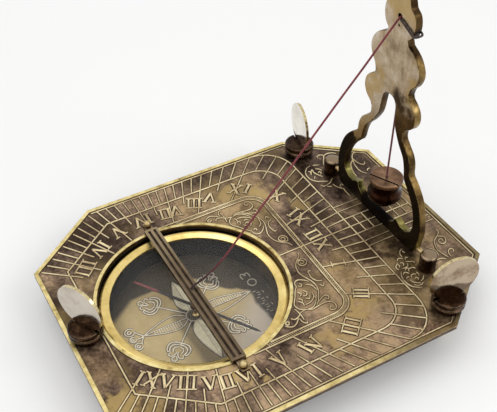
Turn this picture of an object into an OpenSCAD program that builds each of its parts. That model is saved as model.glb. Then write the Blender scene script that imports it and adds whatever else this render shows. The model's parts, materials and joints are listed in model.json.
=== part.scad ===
// Pendulum sundial compass: an eight-sided brass dial plate on three levelling
// thumbscrews, a sunk compass, and a folding bracket that holds the shadow string
// and a plumb bob. The noon line lies along X, and Z = 0 is the table.

/* [Base plate] */
// Length of the plate, along the noon line
plate_l = 135; // [128:1:150]
// Width of the plate, across the noon line
plate_w = 108; // [104:1:120]
// Thickness of the plate
plate_t = 1.5; // [1.4:0.1:3]
// Corner cut, measured along the length
corner_l = 26.8; // [20:0.1:28]
// Corner cut, measured across the width
corner_w = 21; // [16:0.1:22]
// Height of the plate's underside above the table
stand_h = 12.7; // [12.6:0.1:20]
// Width of the raised rim
rim_w = 1.3; // [0.8:0.1:1.4]
// Height of the raised rim and of the lip round the compass
rim_h = 0.3; // [0.1:0.05:0.5]
// Width of the lip round the compass
lip_w = 1.1; // [0.6:0.1:1.2]

/* [Compass] */
// Gap between the bowl's flange and the bush of the left screw
compass_gap = 0.5; // [0.4:0.1:3]
// Outer radius of the compass bowl
bowl_r = 31.3; // [29:0.1:31.5]
// Thickness of the bowl's wall below the ledge
bowl_wall = 2.8; // [2.4:0.1:3.4]
// Depth of the bowl's floor below the top of the plate
bowl_depth = 13.6; // [13:0.1:13.8]
// Thickness of the bowl's floor
bowl_floor = 1.2; // [0.8:0.1:1.6]
// Width of the ledge that carries the glass
ledge_w = 1.4; // [1:0.1:1.8]
// Width of the flange under the plate
flange_w = 2.3; // [2.1:0.1:2.4]
// Thickness of the flange under the plate
flange_t = 1.2; // [0.8:0.1:2]
// Drop of the bezel ring below the top of the plate
bezel_drop = 1.6; // [1.2:0.1:1.8]
// Width of the bezel ring
bezel_w = 3.5; // [3:0.1:4.4]
// Thickness of the bezel ring
bezel_t = 1.3; // [1:0.1:1.5]
// Thickness of the glass
glass_t = 1; // [0.8:0.1:1.2]
// Thickness of the seat ring under the glass
seat_t = 0.8; // [0.5:0.1:1]
// Thickness of the compass card
card_t = 0.6; // [0.4:0.1:0.8]
// Half length of the needle
needle_r = 24.6; // [20:0.1:26]
// Width of the needle's hub
needle_w = 3.4; // [2.6:0.1:4.4]
// Width of the needle's blade beside the hub
blade_w = 1.1; // [0.8:0.1:2]
// Thickness of the needle
needle_t = 0.3; // [0.2:0.05:0.5]
// Height of the needle above the card
needle_lift = 4.4; // [4:0.1:4.8]
// Direction of the needle's north end, from the noon line
needle_az = 123.7; // [0:0.1:360]
// Radius of the needle's pivot
pivot_r = 0.5; // [0.4:0.05:0.6]

/* [String bridge] */
// Distance of the bridge from the compass centre, towards the left end
bridge_off = 0.7; // [0:0.1:1.2]
// Width of the bridge
bridge_w = 4.7; // [4.2:0.1:7]
// Thickness of the bridge between its ribs
bridge_t = 1.3; // [1:0.1:1.6]
// Height of the three ribs
rib_h = 0.4; // [0.2:0.05:0.5]
// Width of each rib
rib_w = 0.9; // [0.6:0.1:1.2]
// Width of the ears at the bridge's ends
ear_w = 2.6; // [2.5:0.1:4]
// Thickness of the ears
ear_t = 0.8; // [0.6:0.05:1]
// Radius of the ball heads of the rivets
rivet_r = 1.25; // [1:0.05:1.3]

/* [Folding bracket] */
// Distance of the hinge line from the right end of the plate
hinge_in = 19.5; // [18:0.1:21]
// Height of the hinge line above the plate
hinge_h = 4.2; // [4.1:0.1:4.8]
// Height of the string hole above the plate
hole_h = 78; // [72:0.5:84]
// Width of the bracket across its legs
bracket_w = 48; // [44:0.5:49]
// Thickness of the bracket
bracket_t = 2.5; // [2.4:0.1:3]
// Radius of the string hole
string_hole_r = 0.9; // [0.8:0.05:1.1]
// Radius of the hinge pins
pin_r = 0.8; // [0.6:0.05:0.9]
// Distance between the centres of the hinge posts
post_gap = 58; // [57:0.5:62]
// Radius of the hinge posts
post_r = 2.9; // [2.5:0.1:3.2]
// Height of the hinge posts above the plate
post_h = 6.4; // [6.2:0.1:7.5]

/* [Levelling screws] */
// Distance of the left screw from the left end
screw_left_in = 6; // [5.9:0.1:6.2]
// Distance of the right screws from the right end
screw_right_in = 24; // [22:0.1:26]
// Distance of the right screws from the long sides
screw_side_in = 8.5; // [8:0.1:9]
// Radius of the screw shanks
shank_r = 1.9; // [1.5:0.05:2]
// Radius of the turned knobs
knob_r = 5.5; // [4.8:0.1:5.6]
// Height of the turned knobs
knob_h = 3.6; // [3.2:0.1:5]
// Radius of the thumb discs
disc_r = 8.4; // [7:0.1:9]
// Thickness of the thumb discs
disc_t = 1; // [0.8:0.1:1.4]
// Width of the tang under each thumb disc
tang_w = 7; // [5:0.5:8]
// Radius of the bushes' collars
bush_r = 4.8; // [3.8:0.1:5]
// Thickness of the bushes' collars
bush_t = 1; // [0.7:0.1:1.2]
// Length of the bushes below the plate
bush_tail = 3; // [2:0.1:4]

/* [Plumb bob] */
// Radius of the slotted cap
cap_r = 5.8; // [5:0.1:5.9]
// Thickness of the slotted cap
cap_t = 1.3; // [1:0.1:2]
// Distance of the cap's slot from the bob's centre
cap_slot_in = 2; // [1.4:0.1:3]
// Radius of the barrel
barrel_r = 5.4; // [4.8:0.1:5.5]
// Height of the barrel
barrel_h = 4.8; // [4.5:0.1:7]
// Radius of the flange round the bob
skirt_r = 6; // [5.7:0.1:6]
// Thickness of the flange round the bob
skirt_t = 1.4; // [0.8:0.1:2]
// Height of the cone under the flange
cone_h = 4.9; // [4:0.1:6]
// Height of the bob's tip above the plate
tip_h = 5.2; // [5:0.1:7]
// Distance of the plumb line behind the bracket
plumb_back = 0.95; // [0.92:0.01:1.3]
// Diameter of the strings
cord_d = 0.7; // [0.5:0.05:0.8]

/* [Hidden] */
$fn = 64;

// Radial clearances: round parts that turn or slide, pressed pins, parts that sit still
run_fit = 0.05;
press_fit = 0.01;
still_fit = 0.1;
// Side clearance of a blade in its slot, and the overshoot of a cut past the face it leaves
slot_fit = 0.03;
past = 0.5;

top_z = stand_h + plate_t;
bush_body_r = shank_r + 1;
compass_in = screw_left_in + bush_body_r + compass_gap + flange_w + bowl_r;
compass_x = compass_in - plate_l / 2;
bridge_x = compass_x - bridge_off;
hinge_x = plate_l / 2 - hinge_in;
hinge_z = top_z + hinge_h;
hole_z = top_z + hole_h;

// Compass, from the bezel down
hole_r = bowl_r + still_fit;
bezel_r = bowl_r - still_fit;
bezel_z = top_z - bezel_drop - bezel_t;
glass_z = bezel_z - glass_t - run_fit;
seat_z = glass_z - seat_t;
floor_z = top_z - bowl_depth + bowl_floor;
inner_r = bowl_r - bowl_wall;
ledge_r = inner_r + ledge_w;
flange_r = bowl_r + flange_w;
bowl_screw_r = 0.5;
bowl_screw_head_r = 0.9;
bowl_screw_head_h = 0.7;
bowl_screw_in = plate_t * 0.6;
bowl_screw_ring = bowl_r + flange_w / 2 + still_fit;
needle_z = floor_z + card_t + needle_lift;
needle_hub_r = needle_w / 2;
needle_bore_r = needle_hub_r * 0.6;
pivot_foot_r = 1.2;
pivot_tip_z = needle_z + 1.1;

// Bridge: bar to just past the lip, ears beyond it, one rivet in each ear
bridge_half = hole_r + lip_w;
ear_half = bridge_half + 4.4;
rivet_y = bridge_half + 2.7;
rivet_shank_r = 0.7;
string_bore_r = cord_d / 2 + still_fit;
mid_rib_w = max(rib_w, 2 * string_bore_r + 0.1);
knot_r = 1.1 * cord_d;

// Hinge: pins pressed into the bracket's feet, blind bores in the posts
pin_in = bracket_w / 2 - 6;
post_bore_in = post_r + 0.4;
pin_end = post_gap / 2 - post_r + post_bore_in - 0.3;
post_tail_r = 1.6;
post_screw_r = 0.9;
post_screw_head_r = 2.2;
post_screw_head_h = 1.1;

// Levelling screws: the left one and the two on the right, with the turn of each disc
screw_pos = [[screw_left_in - plate_l / 2, 0],
             [plate_l / 2 - screw_right_in, plate_w / 2 - screw_side_in],
             [plate_l / 2 - screw_right_in, screw_side_in - plate_w / 2]];
disc_turn = [-62, 78, -10];
knob_z = top_z + bush_t + 0.2;
slot_z = knob_z + 0.55 * knob_h;
shank_top = slot_z - 0.35;
disc_z = knob_z + knob_h + disc_r - 0.5;

// Bob, from the tip up
plumb_x = hinge_x + bracket_t / 2 + plumb_back;
tip_z = top_z + tip_h;
skirt_z = tip_z + cone_h;
barrel_z = skirt_z + skirt_t;
cap_z = barrel_z + barrel_h;
spigot_h = 2.2;
bob_bore_r = 3.6;
bob_bore_h = spigot_h + 2 * knot_r + 0.3;
cap_slot_turn = -63;

// Bracket outline, as half widths and heights above the plate on the drawn bracket,
// which is 48 wide over its legs with its hinge line at 4.2 and its string hole at 78
drawn_w = 48;
drawn_hinge = 4.2;
drawn_hole = 78;
finial = [[0, 89.6], [1.9, 89.1], [3.1, 87.4], [3.4, 85.2], [4.4, 82.5]];
lobe_1 = [[4.9, 82], [6.6, 80.7], [7.4, 77.7], [6.6, 74.4], [4.8, 72.5]];
lobe_2 = [[5.4, 71.1], [8.9, 69.2], [11.3, 66.4], [12, 63.6], [11, 60.6], [9.2, 58.4], [8.5, 56]];
lobe_3 = [[9, 54.9], [11.2, 53.3], [12.8, 51.2], [13.1, 48.4], [11.8, 45.8], [9.4, 44.1]];
lobe_4 = [[8.5, 42.6], [8.6, 40.2], [10.6, 38], [12.9, 35.7], [14.1, 33], [14.4, 30]];
leg = [[14.9, 28.9], [17.9, 26.4], [21.1, 22.4], [23.3, 16.8], [24, 11], [23.6, 7.4],
       [23.2, 4.2], [22.2, 1.9], [20.6, 1.2]];
arch = [[0, 51.9], [1.8, 51.5], [3, 50.1], [3.5, 47.6], [4.2, 43], [5.6, 40], [7.6, 37],
        [10, 34.2], [11.3, 31], [11.9, 27.8]];
leg_inside = [[12.5, 26.2], [14.6, 24], [17.2, 20.8], [19.3, 16.4], [19.9, 12], [19.2, 9],
              [17, 7.4]];
foot_scroll = [[14.2, 7.2], [11.4, 8.6], [10.2, 6.6], [8, 5.1], [5, 4.6], [0, 4.5]];

// Routes of the shadow string and of the cord tied round the bracket, above the plate
string_route = [[-25.2, 0, 0], [-25.2, 0, 0.9], [-25.15, 0, 1.7], [-24.8, 0, 2.3],
                [-23.9, 0, 2.8], [-22.4, 0, 3.4], [-20.4, 0, 4.3], [-16.2, 0, 6.9], [-12, 0, 10.8],
                [-7, 0, 16.6], [-1, 0, 23.2], [8, 0, 33.4], [18, 0, 44.9], [28, 0, 56.4],
                [36, 0, 65.4], [44, 0, 74.8], [46.2, 0, 77.3], [47, 0, 77.8], [48, 0, 78],
                [49, 0, 78]];
wrap_route = [[46.3, -0.9, 77.7], [46.3, -3.6, 76.7], [46.3, -6.4, 75.6], [46.4, -7.3, 75.3],
              [47.1, -7.8, 75.1], [48.9, -7.8, 75.1], [49.6, -7.3, 75.2], [49.7, -6.2, 75.6],
              [49.7, -3.8, 76.4], [49.8, -1.3, 77.3]];

// A smooth run through a list of points, with a given number of steps between neighbours
function at_end(p, i) = p[max(0, min(len(p) - 1, i))];
function between(a, b, c, d, t) =
    b + (c - a) * t / 2 + (2 * a - 5 * b + 4 * c - d) * t * t / 2
    + (3 * b - a - 3 * c + d) * t * t * t / 2;
function smooth(p, steps) = concat(
    [for (i = [0 : len(p) - 2], k = [0 : steps - 1])
        between(at_end(p, i - 1), p[i], p[i + 1], at_end(p, i + 2), k / steps)],
    [p[len(p) - 1]]);

// The drawn half outline at the bracket's real size, and the same with its mirrored half
function fitted(p) = [for (q = p) [
    q[0] * bracket_w / drawn_w,
    hinge_h + (q[1] - drawn_hinge) * (hole_h - hinge_h) / (drawn_hole - drawn_hinge)]];
function both_sides(p) = let (f = fitted(p)) concat(
    f, [for (i = [len(f) - 1 : -1 : 0]) if (f[i][0] > 0) [-f[i][0], f[i][1]]]);

// One closed tube of eight sides along a route; side is a direction the route never takes
function unit(v) = v / norm(v);
function heading(p, i) = unit(at_end(p, i + 1) - at_end(p, i - 1));
function tube_ring(p, i, r, side, sides) =
    let (t = heading(p, i), u = unit(cross(side, t)), v = cross(t, u))
    [for (k = [0 : sides - 1]) p[i] + r * (cos(360 * k / sides) * u + sin(360 * k / sides) * v)];
module tube(route, d, side) {
    sides = 8;
    n = len(route);
    points = [for (i = [0 : n - 1]) each tube_ring(route, i, d / 2, side, sides)];
    walls = [for (i = [0 : n - 2], k = [0 : sides - 1]) let (m = (k + 1) % sides)
        [i * sides + k, (i + 1) * sides + k, (i + 1) * sides + m, i * sides + m]];
    ends = [[for (k = [0 : sides - 1]) k],
            [for (k = [sides - 1 : -1 : 0]) (n - 1) * sides + k]];
    polyhedron(points, concat(walls, ends));
}

// The plate's outline, moved in by the same distance on every side
module octagon(inset) {
    x = plate_l / 2 - inset;
    y = plate_w / 2 - inset;
    slope = sqrt(corner_l * corner_l + corner_w * corner_w);
    cx = corner_l - inset * (1 + (corner_l - slope) / corner_w);
    cy = corner_w - inset * (1 + (corner_w - slope) / corner_l);
    polygon([[-x, cy - y], [cx - x, -y], [x - cx, -y], [x, cy - y],
             [x, y - cy], [x - cx, y], [cx - x, y], [-x, y - cy]]);
}

module bore(r, z, h) {
    translate([0, 0, z - past]) cylinder(r = r, h = h + 2 * past);
}

module at_compass() {
    translate([compass_x, 0, 0]) children();
}

module at_bridge() {
    translate([bridge_x, 0, 0]) children();
}

module at_rivets() {
    for (s = [-1, 1]) translate([bridge_x, s * rivet_y, 0]) children();
}

module at_posts() {
    for (s = [-1, 1]) translate([hinge_x, s * post_gap / 2, 0]) children();
}

module at_bowl_screws() {
    for (a = [0, 120, 240]) at_compass() rotate([0, 0, a]) translate([bowl_screw_ring, 0, 0])
        children();
}

module base_plate() color([0.42, 0.34, 0.24]) difference() {
    union() {
        translate([0, 0, stand_h]) linear_extrude(plate_t) octagon(0);
        translate([0, 0, top_z - past]) linear_extrude(rim_h + past) difference() {
            octagon(0);
            octagon(rim_w);
        }
        translate([0, 0, top_z - past]) at_compass() cylinder(r = hole_r + lip_w, h = rim_h + past);
    }
    at_compass() bore(hole_r, stand_h, plate_t);
    // The bridge lies across the lip in two flats
    translate([bridge_x - bridge_w / 2 - still_fit, -ear_half, top_z])
        cube([bridge_w + 2 * still_fit, 2 * ear_half, rim_h + past]);
    at_rivets() bore(rivet_shank_r + run_fit, stand_h, plate_t);
    at_posts() bore(post_tail_r + run_fit, stand_h, plate_t);
    for (p = screw_pos) translate([p[0], p[1], 0]) {
        bore(bush_body_r + run_fit, stand_h, plate_t);
        // The rim makes room for the bush's collar
        translate([0, 0, top_z]) cylinder(r = bush_r + still_fit, h = rim_h + past);
    }
    at_bowl_screws() translate([0, 0, stand_h - past])
        cylinder(r = bowl_screw_r + run_fit, h = bowl_screw_in + past + still_fit);
}

module compass_bowl() color([0.6, 0.48, 0.26]) difference() {
    at_compass() rotate_extrude() polygon([
        [0, top_z - bowl_depth], [bowl_r - 1.5, top_z - bowl_depth],
        [bowl_r - 0.4, top_z - bowl_depth + 0.5], [bowl_r, top_z - bowl_depth + 1.6],
        [bowl_r, stand_h - flange_t], [flange_r, stand_h - flange_t], [flange_r, stand_h],
        [bowl_r, stand_h], [bowl_r, bezel_z], [ledge_r, bezel_z], [ledge_r, seat_z],
        [inner_r, seat_z], [inner_r, floor_z], [0, floor_z]]);
    at_bowl_screws() bore(bowl_screw_r + run_fit, stand_h - flange_t, flange_t);
}

module bowl_screws() color([0.5, 0.42, 0.25]) at_bowl_screws() {
    translate([0, 0, stand_h - flange_t - bowl_screw_head_h]) difference() {
        cylinder(r = bowl_screw_head_r, h = bowl_screw_head_h);
        translate([-bowl_screw_head_r - past, -0.15, -past])
            cube([2 * (bowl_screw_head_r + past), 0.3, past + 0.3]);
    }
    translate([0, 0, stand_h - flange_t - 0.1])
        cylinder(r = bowl_screw_r, h = flange_t + bowl_screw_in + 0.1);
}

module compass_card() color([0.72, 0.64, 0.45]) translate([0, 0, floor_z]) at_compass() difference() {
    cylinder(r = inner_r - still_fit, h = card_t + 0.2);
    translate([0, 0, card_t]) cylinder(r = inner_r - 1.3, h = past);
    bore(pivot_foot_r + run_fit, 0, card_t);
}

// The pivot stands in the middle of the card and ends in a point under the needle's cap
module needle_pivot() color([0.75, 0.62, 0.35]) at_compass() rotate_extrude() polygon([
    [0, floor_z], [pivot_foot_r, floor_z], [pivot_foot_r, floor_z + card_t + 0.6],
    [pivot_r, floor_z + card_t + 1.1], [pivot_r, pivot_tip_z - 1.2], [0, pivot_tip_z]]);

module compass_needle() color([0.3, 0.06, 0.05]) translate([0, 0, needle_z]) at_compass()
    rotate([0, 0, needle_az]) linear_extrude(needle_t) difference() {
        union() {
            polygon([for (s = [1, -1]) each [
                [s * needle_r, 0], [s * needle_r * 0.94, s * blade_w * 0.36],
                [0, s * blade_w / 2], [-s * needle_r * 0.94, s * blade_w * 0.36]]]);
            circle(r = needle_hub_r);
        }
        circle(r = needle_bore_r);
    }

// A turned cap with a conical cup inside, which rides on the pivot's point
module needle_cap() color([0.85, 0.7, 0.4]) translate([0, 0, needle_z]) at_compass()
    rotate_extrude() polygon([
        [pivot_r + 0.2, 0], [needle_bore_r - run_fit / 2, 0], [needle_bore_r - run_fit / 2, needle_t],
        [needle_hub_r * 0.85, needle_t], [needle_hub_r * 0.8, needle_t + 0.7],
        [needle_hub_r * 0.45, needle_t + 1.35], [0, needle_t + 1.5],
        [0, pivot_tip_z - needle_z + run_fit]]);

module glass_seat_ring() color([0.15, 0.12, 0.1]) translate([0, 0, seat_z]) at_compass() difference() {
    cylinder(r = ledge_r - still_fit, h = seat_t);
    bore(inner_r + still_fit, 0, seat_t);
}

module compass_glass() color([0.85, 0.9, 0.9, 0.35]) translate([0, 0, glass_z]) at_compass()
    cylinder(r = ledge_r - still_fit, h = glass_t);

module bezel_ring() color([0.85, 0.7, 0.32]) translate([0, 0, bezel_z]) at_compass()
    rotate_extrude() translate([bezel_r - bezel_w, 0]) polygon([
        [0, 0], [bezel_w, 0], [bezel_w, bezel_t * 0.55], [bezel_w * 0.88, bezel_t * 0.88],
        [bezel_w * 0.7, bezel_t], [bezel_w * 0.45, bezel_t * 0.9], [bezel_w * 0.15, bezel_t * 0.55],
        [0, bezel_t * 0.35]]);

module string_bridge() color([0.25, 0.19, 0.15]) translate([0, 0, top_z]) difference() {
    at_bridge() union() {
        translate([-bridge_w / 2, -bridge_half, 0]) cube([bridge_w, 2 * bridge_half, bridge_t]);
        translate([-ear_w / 2, -ear_half, 0]) cube([ear_w, 2 * ear_half, ear_t]);
        for (x = [-1, 1]) translate([(x * (bridge_w - rib_w) - rib_w) / 2, -bridge_half, 0])
            cube([rib_w, 2 * bridge_half, bridge_t + rib_h]);
        // The middle rib is wide enough for the string's hole
        translate([-mid_rib_w / 2, -bridge_half, 0])
            cube([mid_rib_w, 2 * bridge_half, bridge_t + rib_h]);
        // A low bead across each end of the bar
        for (s = [-1, 1]) translate([-bridge_w / 2, s * (bridge_half - rib_w / 2) - rib_w / 2, 0])
            cube([bridge_w, rib_w, bridge_t + rib_h]);
    }
    at_bridge() bore(string_bore_r, 0, bridge_t + rib_h);
    at_rivets() bore(rivet_shank_r + run_fit, 0, ear_t);
}

module bridge_rivets() color([0.8, 0.65, 0.3]) at_rivets() {
    translate([0, 0, top_z + ear_t]) rotate_extrude() intersection() {
        translate([0, rivet_r * 0.8]) circle(r = rivet_r);
        square([rivet_r, 2 * rivet_r]);
    }
    translate([0, 0, stand_h]) cylinder(r = rivet_shank_r, h = plate_t + ear_t + 0.1);
}

// A round post with a domed top, a blind bore for the pin, and a tail through the plate
module hinge_post(side) color([0.22, 0.12, 0.09]) difference() {
    translate([hinge_x, side * post_gap / 2, 0]) rotate_extrude() polygon([
        [0, stand_h], [post_tail_r, stand_h], [post_tail_r, top_z], [post_r, top_z],
        [post_r, top_z + post_h - 0.9], [post_r * 0.93, top_z + post_h - 0.45],
        [post_r * 0.75, top_z + post_h - 0.15], [post_r * 0.4, top_z + post_h],
        [0, top_z + post_h]]);
    translate([hinge_x, side * (post_gap / 2 - post_r + post_bore_in), hinge_z])
        rotate([side * 90, 0, 0]) cylinder(r = pin_r + run_fit, h = post_bore_in + past);
    translate([hinge_x, side * post_gap / 2, stand_h - past])
        cylinder(r = post_screw_r + run_fit, h = plate_t + past);
}

module post_screws() color([0.45, 0.36, 0.22]) at_posts() {
    translate([0, 0, stand_h - post_screw_head_h]) difference() {
        cylinder(r = post_screw_head_r, h = post_screw_head_h);
        translate([-post_screw_head_r - past, -0.25, -past])
            cube([2 * (post_screw_head_r + past), 0.5, past + 0.5]);
    }
    translate([0, 0, stand_h - 0.1]) cylinder(r = post_screw_r, h = plate_t);
}

// A collared bush in the plate carries each levelling screw
module level_bush(i) color([0.28, 0.2, 0.14]) translate([screw_pos[i][0], screw_pos[i][1], 0])
    difference() {
        union() {
            translate([0, 0, top_z]) cylinder(r = bush_r, h = bush_t);
            translate([0, 0, stand_h - bush_tail])
                cylinder(r = bush_body_r, h = plate_t + bush_tail + 0.1);
        }
        bore(shank_r + run_fit, stand_h - bush_tail, plate_t + bush_tail + bush_t);
    }

module level_shank(i) color([0.5, 0.38, 0.22]) translate([screw_pos[i][0], screw_pos[i][1], 0])
    rotate_extrude() polygon([
        [0, 0], [shank_r * 0.6, 0], [shank_r, shank_r * 0.7], [shank_r, shank_top - 0.3],
        [shank_r - 0.3, shank_top], [0, shank_top]]);

// A turned knob with a waist, bored for its shank and slotted for its thumb disc
module level_knob(i) color([0.2, 0.11, 0.09]) translate([screw_pos[i][0], screw_pos[i][1], knob_z])
    difference() {
        rotate_extrude() polygon([
            [0, 0], [knob_r - 0.5, 0], [knob_r, 0.4], [knob_r, knob_h * 0.3],
            [knob_r * 0.93, knob_h * 0.38], [knob_r * 0.93, knob_h * 0.46],
            [knob_r, knob_h * 0.54], [knob_r, knob_h - 0.7], [knob_r - 0.25, knob_h - 0.2],
            [knob_r - 0.8, knob_h], [0, knob_h]]);
        translate([0, 0, -past]) cylinder(r = shank_r + run_fit, h = past + shank_top - knob_z + 0.1);
        rotate([0, 0, disc_turn[i]])
            translate([-knob_r - past, -disc_t / 2 - slot_fit, slot_z - knob_z])
                cube([2 * (knob_r + past), disc_t + 2 * slot_fit, knob_h]);
    }

// A polished round thumb disc, whose tang sits in the slot of the knob
module level_disc(i) color([0.86, 0.84, 0.8]) translate([screw_pos[i][0], screw_pos[i][1], 0])
    rotate([90, 0, disc_turn[i]]) translate([0, 0, -disc_t / 2]) linear_extrude(disc_t) {
        translate([0, disc_z]) circle(r = disc_r);
        translate([-tang_w / 2, slot_z]) square([tang_w, disc_z - disc_r * 0.6 - slot_z]);
    }

// The lobed bracket stands upright across the noon line and folds down on its pins
module bracket_frame() color([0.6, 0.5, 0.33]) difference() {
    translate([hinge_x - bracket_t / 2, 0, top_z]) rotate([90, 0, 90])
        linear_extrude(bracket_t) difference() {
            polygon(both_sides(concat(smooth(finial, 4), smooth(lobe_1, 4), smooth(lobe_2, 4),
                                      smooth(lobe_3, 4), smooth(lobe_4, 3), smooth(leg, 3))));
            polygon(both_sides(concat(smooth(arch, 3), smooth(leg_inside, 3), foot_scroll)));
        }
    translate([hinge_x - bracket_t / 2, 0, hole_z]) rotate([0, 90, 0]) bore(string_hole_r, 0, bracket_t);
    for (s = [-1, 1]) translate([hinge_x, s * pin_in, hinge_z]) rotate([-s * 90, 0, 0])
        cylinder(r = pin_r + press_fit, h = bracket_w / 2);
}

module hinge_pins() color([0.7, 0.58, 0.34]) for (s = [-1, 1])
    translate([hinge_x, s * (pin_in + still_fit), hinge_z]) rotate([-s * 90, 0, 0])
        cylinder(r = pin_r, h = pin_end - pin_in - still_fit);

module lower_knot() color([0.35, 0.05, 0.06]) translate([0, 0, top_z - knot_r - run_fit]) at_bridge()
    sphere(r = knot_r);

module gnomon_string() color([0.45, 0.05, 0.08]) translate([0, 0, top_z])
    tube(smooth(string_route, 2), cord_d, [0, 1, 0]);

module string_wrap() color([0.12, 0.05, 0.04]) translate([0, 0, top_z])
    tube(smooth(wrap_route, 2), cord_d, [0.1, 0.1, 1]);

module plumb_knot() color([0.3, 0.05, 0.05]) translate([plumb_x, 0, hole_z]) sphere(r = knot_r);

// The plumb line runs from its knot behind the hole into the cap of the bob
module plumb_string() color([0.3, 0.05, 0.05]) translate([plumb_x, 0, cap_z - spigot_h])
    cylinder(r = cord_d / 2, h = hole_z - knot_r - run_fit - cap_z + spigot_h);

module bob_knot() color([0.3, 0.05, 0.05]) translate([plumb_x, 0, cap_z - spigot_h - knot_r - run_fit])
    sphere(r = knot_r);

// The slotted cap plugs into the bob with a spigot; the slot runs beside the string
module bob_cap() color([0.36, 0.22, 0.15]) translate([plumb_x, 0, cap_z]) difference() {
    union() {
        rotate_extrude() polygon([[0, 0], [cap_r, 0], [cap_r, cap_t - 0.3], [cap_r - 0.3, cap_t],
                                  [0, cap_t]]);
        translate([0, 0, -spigot_h]) cylinder(r = bob_bore_r - run_fit, h = spigot_h + 0.1);
    }
    bore(string_bore_r, -spigot_h, spigot_h + cap_t);
    rotate([0, 0, cap_slot_turn]) translate([-cap_r - past, -cap_slot_in - 0.35, cap_t - 0.7])
        cube([2 * (cap_r + past), 0.7, 0.7 + past]);
}

module bob_body() color([0.2, 0.1, 0.08]) translate([plumb_x, 0, 0]) difference() {
    rotate_extrude() polygon([
        [0, tip_z], [0.35, tip_z], [0.7, tip_z + 0.6], [barrel_r * 0.55, skirt_z - cone_h * 0.42],
        [barrel_r * 0.86, skirt_z - cone_h * 0.12], [barrel_r * 0.9, skirt_z],
        [skirt_r - 0.25, skirt_z], [skirt_r, skirt_z + 0.25], [skirt_r, barrel_z - 0.25],
        [skirt_r - 0.25, barrel_z], [barrel_r, barrel_z], [barrel_r, cap_z], [0, cap_z]]);
    translate([0, 0, cap_z - bob_bore_h]) cylinder(r = bob_bore_r, h = bob_bore_h + past);
}

base_plate();
compass_bowl();
bowl_screws();
compass_card();
needle_pivot();
compass_needle();
needle_cap();
glass_seat_ring();
compass_glass();
bezel_ring();
string_bridge();
bridge_rivets();
hinge_post(1);  // hinge_post_left
hinge_post(-1);  // hinge_post_right
post_screws();
level_bush(0);  // level_bush_1
level_bush(1);  // level_bush_2
level_bush(2);  // level_bush_3
level_shank(0);  // level_shank_1
level_shank(1);  // level_shank_2
level_shank(2);  // level_shank_3
level_knob(0);  // level_knob_1
level_knob(1);  // level_knob_2
level_knob(2);  // level_knob_3
level_disc(0);  // level_disc_1
level_disc(1);  // level_disc_2
level_disc(2);  // level_disc_3
bracket_frame();
hinge_pins();
lower_knot();
gnomon_string();
string_wrap();
plumb_knot();
plumb_string();
bob_knot();
bob_cap();
bob_body();
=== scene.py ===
"""Pendulum sundial compass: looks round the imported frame, in metres, noon line along X."""
import json
from math import atan2, ceil, cos, dist, hypot, pi, radians, sin, sqrt

import bmesh
import bpy
from mathutils import Matrix, Vector

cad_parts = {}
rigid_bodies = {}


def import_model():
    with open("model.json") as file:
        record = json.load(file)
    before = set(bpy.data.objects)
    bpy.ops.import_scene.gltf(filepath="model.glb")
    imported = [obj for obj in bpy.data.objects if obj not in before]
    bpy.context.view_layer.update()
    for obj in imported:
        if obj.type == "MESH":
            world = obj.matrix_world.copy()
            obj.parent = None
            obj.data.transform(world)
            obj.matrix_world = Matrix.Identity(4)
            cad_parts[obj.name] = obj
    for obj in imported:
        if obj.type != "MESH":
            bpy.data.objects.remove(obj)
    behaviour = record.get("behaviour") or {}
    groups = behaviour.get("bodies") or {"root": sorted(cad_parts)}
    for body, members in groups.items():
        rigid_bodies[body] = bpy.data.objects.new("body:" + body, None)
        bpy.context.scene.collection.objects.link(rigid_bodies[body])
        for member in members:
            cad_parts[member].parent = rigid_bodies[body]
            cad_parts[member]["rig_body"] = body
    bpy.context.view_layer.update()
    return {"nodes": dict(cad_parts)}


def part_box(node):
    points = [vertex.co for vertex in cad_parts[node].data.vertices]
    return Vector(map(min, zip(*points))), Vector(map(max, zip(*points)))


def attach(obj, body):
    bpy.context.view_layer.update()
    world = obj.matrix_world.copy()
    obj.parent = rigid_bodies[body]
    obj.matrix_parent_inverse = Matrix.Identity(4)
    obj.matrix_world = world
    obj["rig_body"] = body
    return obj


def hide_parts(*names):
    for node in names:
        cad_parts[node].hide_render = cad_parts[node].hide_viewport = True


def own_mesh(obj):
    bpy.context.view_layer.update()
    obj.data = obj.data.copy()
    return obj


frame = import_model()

MM = 0.001
NODES = frame["nodes"]

# Places, in millimetres
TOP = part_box("string_bridge")[0].z / MM
COMPASS = (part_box("compass_bowl")[0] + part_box("compass_bowl")[1]) / 2 / MM
FOOT = (COMPASS.x, COMPASS.y)
HALF_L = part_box("base_plate")[1].x / MM
HALF_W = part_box("base_plate")[1].y / MM
CARD_RIM = 0.2
CARD_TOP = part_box("compass_card")[1].z / MM - CARD_RIM
BRIDGE_X = (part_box("string_bridge")[0].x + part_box("string_bridge")[1].x) / 2 / MM
HINGE_X = (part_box("hinge_post_left")[0].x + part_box("hinge_post_left")[1].x) / 2 / MM
PLUMB_X = (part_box("plumb_string")[0].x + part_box("plumb_string")[1].x) / 2 / MM
SCREWS = [(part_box("level_bush_%d" % k)[0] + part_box("level_bush_%d" % k)[1]) / 2 / MM for k in (1, 2, 3)]
POSTS = [(HINGE_X, 29.0), (HINGE_X, -29.0)]
LIP_R = 32.6
# Radius beyond which the bezel carries the painted shadow of the lip
BEZEL_SHADOW_R = 30.0
BRIDGE_PLAIN = 1.3
NEEDLE_TURN = 123.7
BOB_CAP_T = 1.3

# Camera
FOCAL_PX = 804.83
PICTURE_PX = 497
SENSOR = 36
SHIFT_X, SHIFT_Y = -0.01626, 0.12403
CLIP_START = 0.01
AZIMUTH = radians(-28.985)
ELEVATION = radians(46.057)
ROLL = radians(-0.502)
CAMERA_PLACE = Vector((-0.092206, -0.164686, 0.194316 + TOP * MM))


def add_object(name, data):
    made = bpy.data.objects.new(name, data)
    bpy.context.scene.collection.objects.link(made)
    return made


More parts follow.
